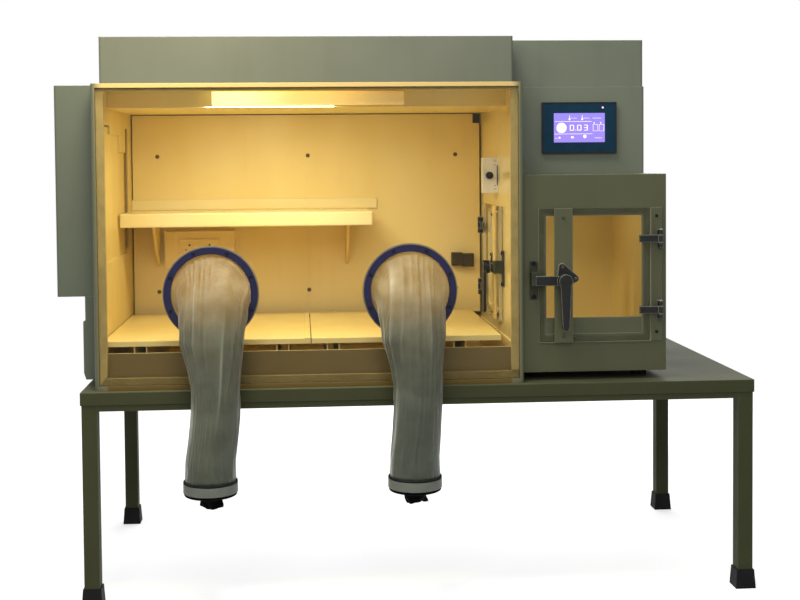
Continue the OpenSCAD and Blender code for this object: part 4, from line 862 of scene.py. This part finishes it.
wrist_rubber = moulded("wrist_rubber", srgb(8, 8, 9), 0.75, 380.0, 0.0003, edge_tone=srgb(20, 20, 20), gloss=0.05)
for name, (low, high), phase in zip(("wrist_left", "wrist_right"), loose_boxes("wrist_cuffs"), (0.6, 2.4)):
    rows = wrist_points(low, high, phase)
    wrist = new_piece(name, rows.reshape(-1, 3), tube_faces(len(rows), WRIST_SIDES), wrist_rubber)
    wall = wrist.modifiers.new("rubber", "SOLIDIFY")
    wall.thickness, wall.offset = WRIST_LIP, 0
    fixed(wrist).data.shade_smooth()
    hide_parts("wrist_cuffs")
    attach(wrist, "cabinet")
    print(name, "hangs to", round(float(rows[..., 2].min()), 4))

# %% [markdown]
# ## Screws
# The same cross-head screw turns up in the port rings, on the back panel, on the hinge strips, the keepers
# and the latch bars. Geometry Nodes make one head from a few named sizes, cut a cross into it, and set it
# on every point, turned to the direction that the point carries. The result is realised and kept as a plain
# mesh.

# %% Screw heads
HEAD_SIZES = ("Head radius", "Head height", "Slot width")
HEAD_SIDES, SHOULDER, SLOT_REACH = 28, 0.78, 1.05


def screw_tree(finish):
    """A node tree that sets a cross-head on each point of a mesh, facing the point's own direction."""
    tree = bpy.data.node_groups.new("screw_heads", "GeometryNodeTree")
    face = tree.interface
    face.new_socket("Points", in_out="INPUT", socket_type="NodeSocketGeometry")
    for name in HEAD_SIZES:
        face.new_socket(name, in_out="INPUT", socket_type="NodeSocketFloat")
    face.new_socket("Screws", in_out="OUTPUT", socket_type="NodeSocketGeometry")

    maker = Nodes(tree)
    given = maker.node("NodeGroupInput")
    points, head_r, head_h, slot_w = (given.beside(name) for name in ("Points", *HEAD_SIZES))
    head = maker.node("GeometryNodeMeshCone", {"fill_type": "NGON"}, {
        "Vertices": HEAD_SIDES, "Side Segments": 1, "Radius Bottom": head_r,
        "Radius Top": head_r * SHOULDER, "Depth": head_h}, "Mesh")
    lift = maker.node("ShaderNodeCombineXYZ", {}, {"Z": head_h})
    cut = maker.node("GeometryNodeMeshBoolean", {"operation": "DIFFERENCE"}, {"Mesh 1": head}, "Mesh")
    for along, across in ("XY", "YX"):
        size = {along: head_r * SLOT_REACH, across: slot_w, "Z": head_h}
        slot = maker.node("GeometryNodeMeshCube", {}, {"Size": maker.node("ShaderNodeCombineXYZ", {}, size)})
        lifted = maker.node("GeometryNodeTransform", {}, {"Geometry": slot, "Translation": lift})
        maker.feed(cut.socket.node.inputs["Mesh 2"], lifted)
    way = maker.node("GeometryNodeInputNamedAttribute", {"data_type": "FLOAT_VECTOR"}, {"Name": "facing"})
    turn = maker.node("FunctionNodeAlignRotationToVector", {"axis": "Z"}, {"Vector": way.beside("Attribute")})
    spots = maker.node("GeometryNodeInstanceOnPoints", {},
                       {"Points": points, "Instance": cut, "Rotation": turn})
    real = maker.node("GeometryNodeRealizeInstances", {}, {"Geometry": spots})
    painted = maker.node("GeometryNodeSetMaterial", {}, {"Geometry": real, "Material": finish.material})
    maker.feed(tree.nodes.new("NodeGroupOutput").inputs["Screws"], painted)
    return tree


dark_heads, ring_heads, brown_heads = map(screw_tree, (dark_screw, black_screw, brown_screw))
print("nodes for a screw:", len(dark_heads.nodes))

# %% Screws of rings and back panel
FRONT, SUNK = (0.0, -1.0, 0.0), 0.1 * MM
PLAIN_HEAD = 10 * MM


def screws(name, tree, places, facing, head, body="cabinet", standing_for=()):
    """Screw heads of a radius, height and slot width on points, all facing one way, as one piece."""
    mesh = bpy.data.meshes.new(name)
    mesh.from_pydata([tuple(p) for p in places], [], [])
    ways = np.tile(np.array(facing, dtype=float), len(places))
    mesh.attributes.new("facing", "FLOAT_VECTOR", "POINT").data.foreach_set("vector", ways)
    piece = bpy.data.objects.new(name, mesh)
    scene.collection.objects.link(piece)
    maker = piece.modifiers.new("heads", "NODES")
    maker.node_group = tree
    sizes = dict(zip(HEAD_SIZES, head))
    for item in tree.interface.items_tree:
        if item.in_out == "INPUT" and item.name in sizes:
            maker[item.identifier] = sizes[item.name]
    fixed(piece)
    for node_name in standing_for:
        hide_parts(node_name)
    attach(piece, body)
    print(name, "heads", len(places), "faces", len(piece.data.polygons))


screws("port_screw_heads", ring_heads,
       [((a.x + b.x) / 2, b.y + SUNK, (a.z + b.z) / 2) for a, b in loose_boxes("port_screws")],
       FRONT, (4.2 * MM, 2.1 * MM, 1.0 * MM), standing_for=("port_screws",))
panel_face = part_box("back_panel")[0].y
screws("panel_screw_heads", brown_heads,
       [((a.x + b.x) / 2, panel_face + SUNK, (a.z + b.z) / 2) for a, b in loose_boxes("back_panel_fixings")
        if b.x - a.x < PLAIN_HEAD], FRONT, (5.6 * MM, 2.6 * MM, 1.2 * MM))

# %% [markdown]
# ## Fasteners of the two doors
# Both airlock doors carry the same set, so each place is given once, as a distance from the hinge axis
# along the door, a height, and a distance out from the axis. The frame's joints say where each axis stands.

# %% Door screws
LATCH_REACH, LATCH_DROP, KEEPER_REACH = 224 * MM, 11 * MM, 290 * MM
STRIP_OUT, BAR_OUT, BASE_OUT, SEATED = -12.95 * MM, 1.75 * MM, 5.75 * MM, 0.3 * MM
AXIS = {joint["name"]: Vector((*joint["pos_m"][:2], 0)) for joint in frame["joints"]}
DOOR_SETS = {
    "outer": (AXIS["outer_door_hinge"], Vector((-1, 0, 0)), Vector((0, -1, 0))),
    "inner": (AXIS["inner_door_hinge"], Vector((0, -1, 0)), Vector((-1, 0, 0))),
}
for which, (axis, away, out) in DOOR_SETS.items():
    low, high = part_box(which + "_door")
    hub_z = (low.z + high.z) / 2 - LATCH_DROP

    def spot(u, z, w):
        return axis + away * u + out * (w - SEATED) + Vector((0, 0, z))

    strip = [spot(6 * MM, z, STRIP_OUT) for z in (low.z + 20 * MM, high.z - 20 * MM)]
    plate = [spot(KEEPER_REACH, hub_z + dz, STRIP_OUT) for dz in (-38 * MM, 38 * MM)]
    ears = [spot(LATCH_REACH + du * MM, hub_z + dz * MM, BASE_OUT) for du, dz in ((4, 31), (-26, 4))]
    bar = [spot(LATCH_REACH, z, BAR_OUT) for z in (low.z + 16 * MM, high.z - 22 * MM)]
    screws(which + "_strip_screws", ring_heads, strip, out, (4.0 * MM, 2.2 * MM, 1.0 * MM))
    screws(which + "_keeper_bolts", ring_heads, plate, out, (5.6 * MM, 3.4 * MM, 1.4 * MM))
    screws(which + "_bar_screws", dark_heads, ears + bar, out, (4.0 * MM, 2.4 * MM, 1.1 * MM),
           which + "_door")

# %% [markdown]
# ## Nodes of two finishes
# Some solids carry two or three finishes. The outer door's latch bar is painted while its base and the
# hinge arms are bare metal. The inner door's trim takes the cream lining, painted lamp light on its
# grey-green metal, and its seal is amber. The airlock, the side housing and the base pan are cream inside,
# and the sides of the socket holes are dark, a painted shade. Where a face lies, and which way it points,
# decides its finish.

# %% Faces of the doors' metalwork
# The inner door's bar takes the cream lining: painted lamp light on grey-green metal.
BAR_COLOUR = {"outer": airlock_shaded_paint, "inner": cream_sheet}
ARM_REACH, STRIP_REACH, SAME_DOOR = 80 * MM, 40 * MM, 0.9
inner_box, TRIM_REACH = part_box("inner_door"), 40 * MM


def inside(box, point, wall):
    """True where a point lies deeper in a box than a wall's thickness, on every side."""
    return all(box[0][i] + wall < point[i] < box[1][i] - wall for i in range(3))


def inner_trim(centre, normal):
    return inside(inner_box, centre, -TRIM_REACH)


def strip_part(centre, normal):
    for axis, away, out in DOOR_SETS.values():
        off = centre - axis
        raised = off.dot(out) > STRIP_OUT + 0.4 * MM
        if raised and off.length < SAME_DOOR and abs(off.dot(away)) < STRIP_REACH:
            return 1
    return 2 * inner_trim(centre, normal)


for which, (axis, away, out) in DOOR_SETS.items():
    def fitting_part(centre, normal):
        off = centre - axis
        return off.dot(out) > BAR_OUT + 0.1 * MM or off.dot(away) < ARM_REACH

    dress_faces(which + "_door_fittings", [BAR_COLOUR[which], gunmetal], fitting_part)
# The inner door's trim on the hinge strips also takes the cream lining: painted lamp light.
dress_faces("hinge_strips", [airlock_shaded_paint, gunmetal, cream_sheet], strip_part)
dress_faces("door_seals", [olive_shaded_seal, amber_lamp_lit_seal], inner_trim)
print("door faces sorted:", len(NODE["hinge_strips"].data.polygons))

# %% Faces inside and outside
# The shell has no left or front wall, so its inside reaches on past those sides.
OPEN_SIDE = 9
FRONT_BACK, UP = Vector((0, 1, 0)), Vector((0, 0, 1))
shell_inside = (shell_box[0] - Vector((OPEN_SIDE, OPEN_SIDE, 0)), shell_box[1])
dress_faces("airlock_shell", [airlock_shaded_paint, cream_sheet], lambda c, n: inside(shell_inside, c, 1 * MM))
plate_low, plate_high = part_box("socket_plate")
holes = (plate_low - FRONT_BACK, plate_high + FRONT_BACK)
# The sides of the socket holes go black: painted shade inside them.
dress_faces("socket_plate", [cream_sheet, black_plastic],
            lambda c, n: abs(n.y) < 0.5 and inside(holes, c, 2 * MM))
housing_mid = sum(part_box("side_housing"), Vector()) / 2
dress_faces("side_housing", [side_paint, cream_sheet], lambda c, n: (housing_mid - c).dot(n) > 0)
pan_low, pan_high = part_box("chamber_base")
dress_faces("chamber_base", [pan_paint, cream_sheet], lambda c, n: (
    inside((pan_low, pan_high + UP), c, 2 * MM) or (n.z > 0.5 and c.z > pan_high.z - 1 * MM)))
print("inside faces sorted:", len(NODE["side_housing"].data.polygons))

# %% [markdown]
# ## The display
# The screen shows a round gauge, a number and rows of small signs. An image could hold them, but thin
# raised shapes with a glow of their own stay sharp from close by. They are drawn in shares of the screen's
# width and height. A black frame runs round the bezel.


# %% Flat outlines
def plates(name, shapes, front, depth, finish):
    """Flat outlines in X and Z, given thickness towards the front, as one piece on the cabinet."""
    points, faces = [], []
    for outline in shapes:
        count = len(outline)
        face = [len(points) + i for i in range(count)]
        points += [(x, y, z) for y in (front - depth, front) for x, z in outline]
        faces += [face, [i + count for i in reversed(face)]]
        faces += [(j, i, i + count, j + count) for i, j in zip(face, face[1:] + face[:1])]
    piece = new_piece(name, points, faces, finish, smooth=False)
    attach(piece, "cabinet")
    print(name, "outlines", len(shapes))


def oblong(x0, x1, z0, z1):
    return [(x0, z0), (x1, z0), (x1, z1), (x0, z1)]


def disc(x, z, radius, sides=28):
    turns = [2 * math.pi * k / sides for k in range(sides)]
    return [(x + radius * math.cos(turn), z + radius * math.sin(turn)) for turn in turns]


print("a disc has", len(disc(0, 0, 1)), "corners")

# %% Display signs
# All in shares of the screen: left, foot, right and top of a bar, or middle, radius and corners of a disc.
SCREEN_W, SCREEN_H = screen_high.x - screen_low.x, screen_high.z - screen_low.z
DIGIT_W, DIGIT_H, DIGIT_V = 0.085, 0.20, 0.40
STROKES = {"a": (0.15, 0.88, 0.85, 1.0), "b": (0.8, 0.5, 1.0, 0.95), "c": (0.8, 0.05, 1.0, 0.5),
           "d": (0.15, 0.0, 0.85, 0.12), "e": (0.0, 0.05, 0.2, 0.5), "f": (0.0, 0.5, 0.2, 0.95),
           "g": (0.15, 0.44, 0.85, 0.56)}
ZERO, THREE = "abcdef", "abcdg"
bars = [(0.02, 0.705, 0.74, 0.72), (0.01, 0.28, 0.76, 0.295), (0.415, 0.40, 0.432, 0.425),
        (0.325, 0.14, 0.40, 0.155), (0.34, 0.155, 0.385, 0.21), (0.03, 0.13, 0.07, 0.145),
        (0.80, 0.14, 0.94, 0.155)]
bars += [(u, 0.78, u + 0.012, 0.92) for u in (0.30, 0.55)]
bars += [(u, 0.82, u + w, 0.832) for u, w in ((0.33, 0.12), (0.58, 0.12), (0.76, 0.17))]
bars += [(u, v, u + 0.10, v + 0.012) for u in (0.765, 0.885) for v in (0.38, 0.60)]
bars += [(u, 0.392, u + 0.008, 0.60) for u in (0.765, 0.857, 0.885, 0.977)]
for strokes, u in ((ZERO, 0.31), (ZERO, 0.455), (THREE, 0.58)):
    bars += [(u + a * DIGIT_W, DIGIT_V + b * DIGIT_H, u + c * DIGIT_W, DIGIT_V + d * DIGIT_H)
             for a, b, c, d in (STROKES[s] for s in strokes)]
discs = [(0.149, 0.495, 0.100, 28), (0.607, 0.20, 0.034, 28), (0.11, 0.16, 0.020, 14)]
discs += [(u, 0.79, 0.018, 16) for u in (0.306, 0.556)] + [(u, 0.66, 0.014, 12) for u in (0.79, 0.92)]
signs = [oblong(screen_low.x + a * SCREEN_W, screen_low.x + c * SCREEN_W,
                screen_low.z + b * SCREEN_H, screen_low.z + d * SCREEN_H) for a, b, c, d in bars]
signs += [disc(screen_low.x + u * SCREEN_W, screen_low.z + v * SCREEN_H, r * SCREEN_W, sides)
          for u, v, r, sides in discs]
lilac = Finish("lit_signs", Roughness=0.3, Emission_Strength=1.0)
lilac.set(Base_Color=srgb(200, 190, 235), Emission_Color=lilac.mix(
    lilac.noise(300.0, 2.0), (0.86, 0.72, 1.0, 1.0), (1.0, 0.90, 1.0, 1.0)))
plates("display_signs", signs, screen_low.y, 0.15 * MM, lilac)

# %% Bezel trim
bezel_low, bezel_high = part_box("screen_bezel")
FRAME_W, EYE_T = 3.2 * MM, 0.4 * MM
EYE_R, LIGHT_R = 5.5 * MM, 2.2 * MM
in_low, in_high = bezel_low.z + FRAME_W, bezel_high.z - FRAME_W
bezel_frame = [oblong(bezel_low.x, bezel_high.x, bezel_low.z, in_low),
               oblong(bezel_low.x, bezel_high.x, in_high, bezel_high.z),
               oblong(bezel_low.x, bezel_low.x + FRAME_W, in_low, in_high),
               oblong(bezel_high.x - FRAME_W, bezel_high.x, in_low, in_high)]
plates("bezel_frame", bezel_frame, bezel_low.y, 0.5 * MM, black_plastic)
eye_at = (bezel_low.x + 148 * MM, bezel_high.z - 13.3 * MM)
plates("bezel_eye", [disc(*eye_at, EYE_R)], bezel_low.y, EYE_T, black_plastic)
plates("bezel_light", [disc(*eye_at, LIGHT_R)], bezel_low.y - EYE_T, EYE_T, lilac)

# %% [markdown]
# ## Sill, socket shade and the thermostat's scale
# A few red ticks stand beside the thermostat's knob, and down the right edge of its white case a black plate
# paints the shade in a slot. In the airlock's front a plate closes the lowest strip of the opening, and
# behind the socket's holes a thin dark sheet paints the shade inside them. All are flat outlines, so the
# display's helper makes them too.

# %% Sill and socket shade
SILL_RISE, EDGE_IN = 37 * MM, 3 * MM
front_low, front_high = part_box("airlock_front")
rim = [v.co for v in NODE["airlock_front"].data.vertices
       if inside((front_low - FRONT_BACK, front_high + FRONT_BACK), v.co, RIM)]
door_x0, door_x1, door_z0 = min(p.x for p in rim), max(p.x for p in rim), min(p.z for p in rim)
plates("airlock_sill", [oblong(door_x0, door_x1, door_z0, door_z0 + SILL_RISE)], front_high.y,
       front_high.y - front_low.y, airlock_shaded_paint)
# A thin dark sheet behind the socket's holes: painted shade inside them.
hole_shade = oblong(plate_low.x + EDGE_IN, plate_high.x - EDGE_IN,
                  plate_low.z + EDGE_IN, plate_high.z - EDGE_IN)
plates("socket_hole_shade", [hole_shade], plate_high.y - 0.3 * MM, 0.2 * MM, black_plastic)

# %% Thermostat marks
MARK_T, TICK_L, TICK_H = 0.3 * MM, 4 * MM, 1.6 * MM
case_low, case_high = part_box("thermostat_body")
tick_x, tick_red = case_low.x + 27 * MM, moulded("tick_red", srgb(150, 62, 48), 0.5)
ticks = [oblong(tick_x, tick_x + TICK_L, case_high.z - d * MM, case_high.z - d * MM + TICK_H)
         for d in (9, 19, 70, 79)]
plates("thermostat_ticks", ticks, case_low.y, MARK_T, tick_red)
# A black plate down the case's right edge: painted shade in the slot.
slot = oblong(case_high.x - 3.4 * MM, case_high.x - 1.0 * MM, case_high.z - 69 * MM, case_high.z - 19 * MM)
plates("thermostat_slot_shade", [slot], case_low.y, MARK_T, black_plastic)

# %% Sizes and finish
low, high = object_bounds()
print("dressed box", [round(v, 4) for v in (*low, *high)])
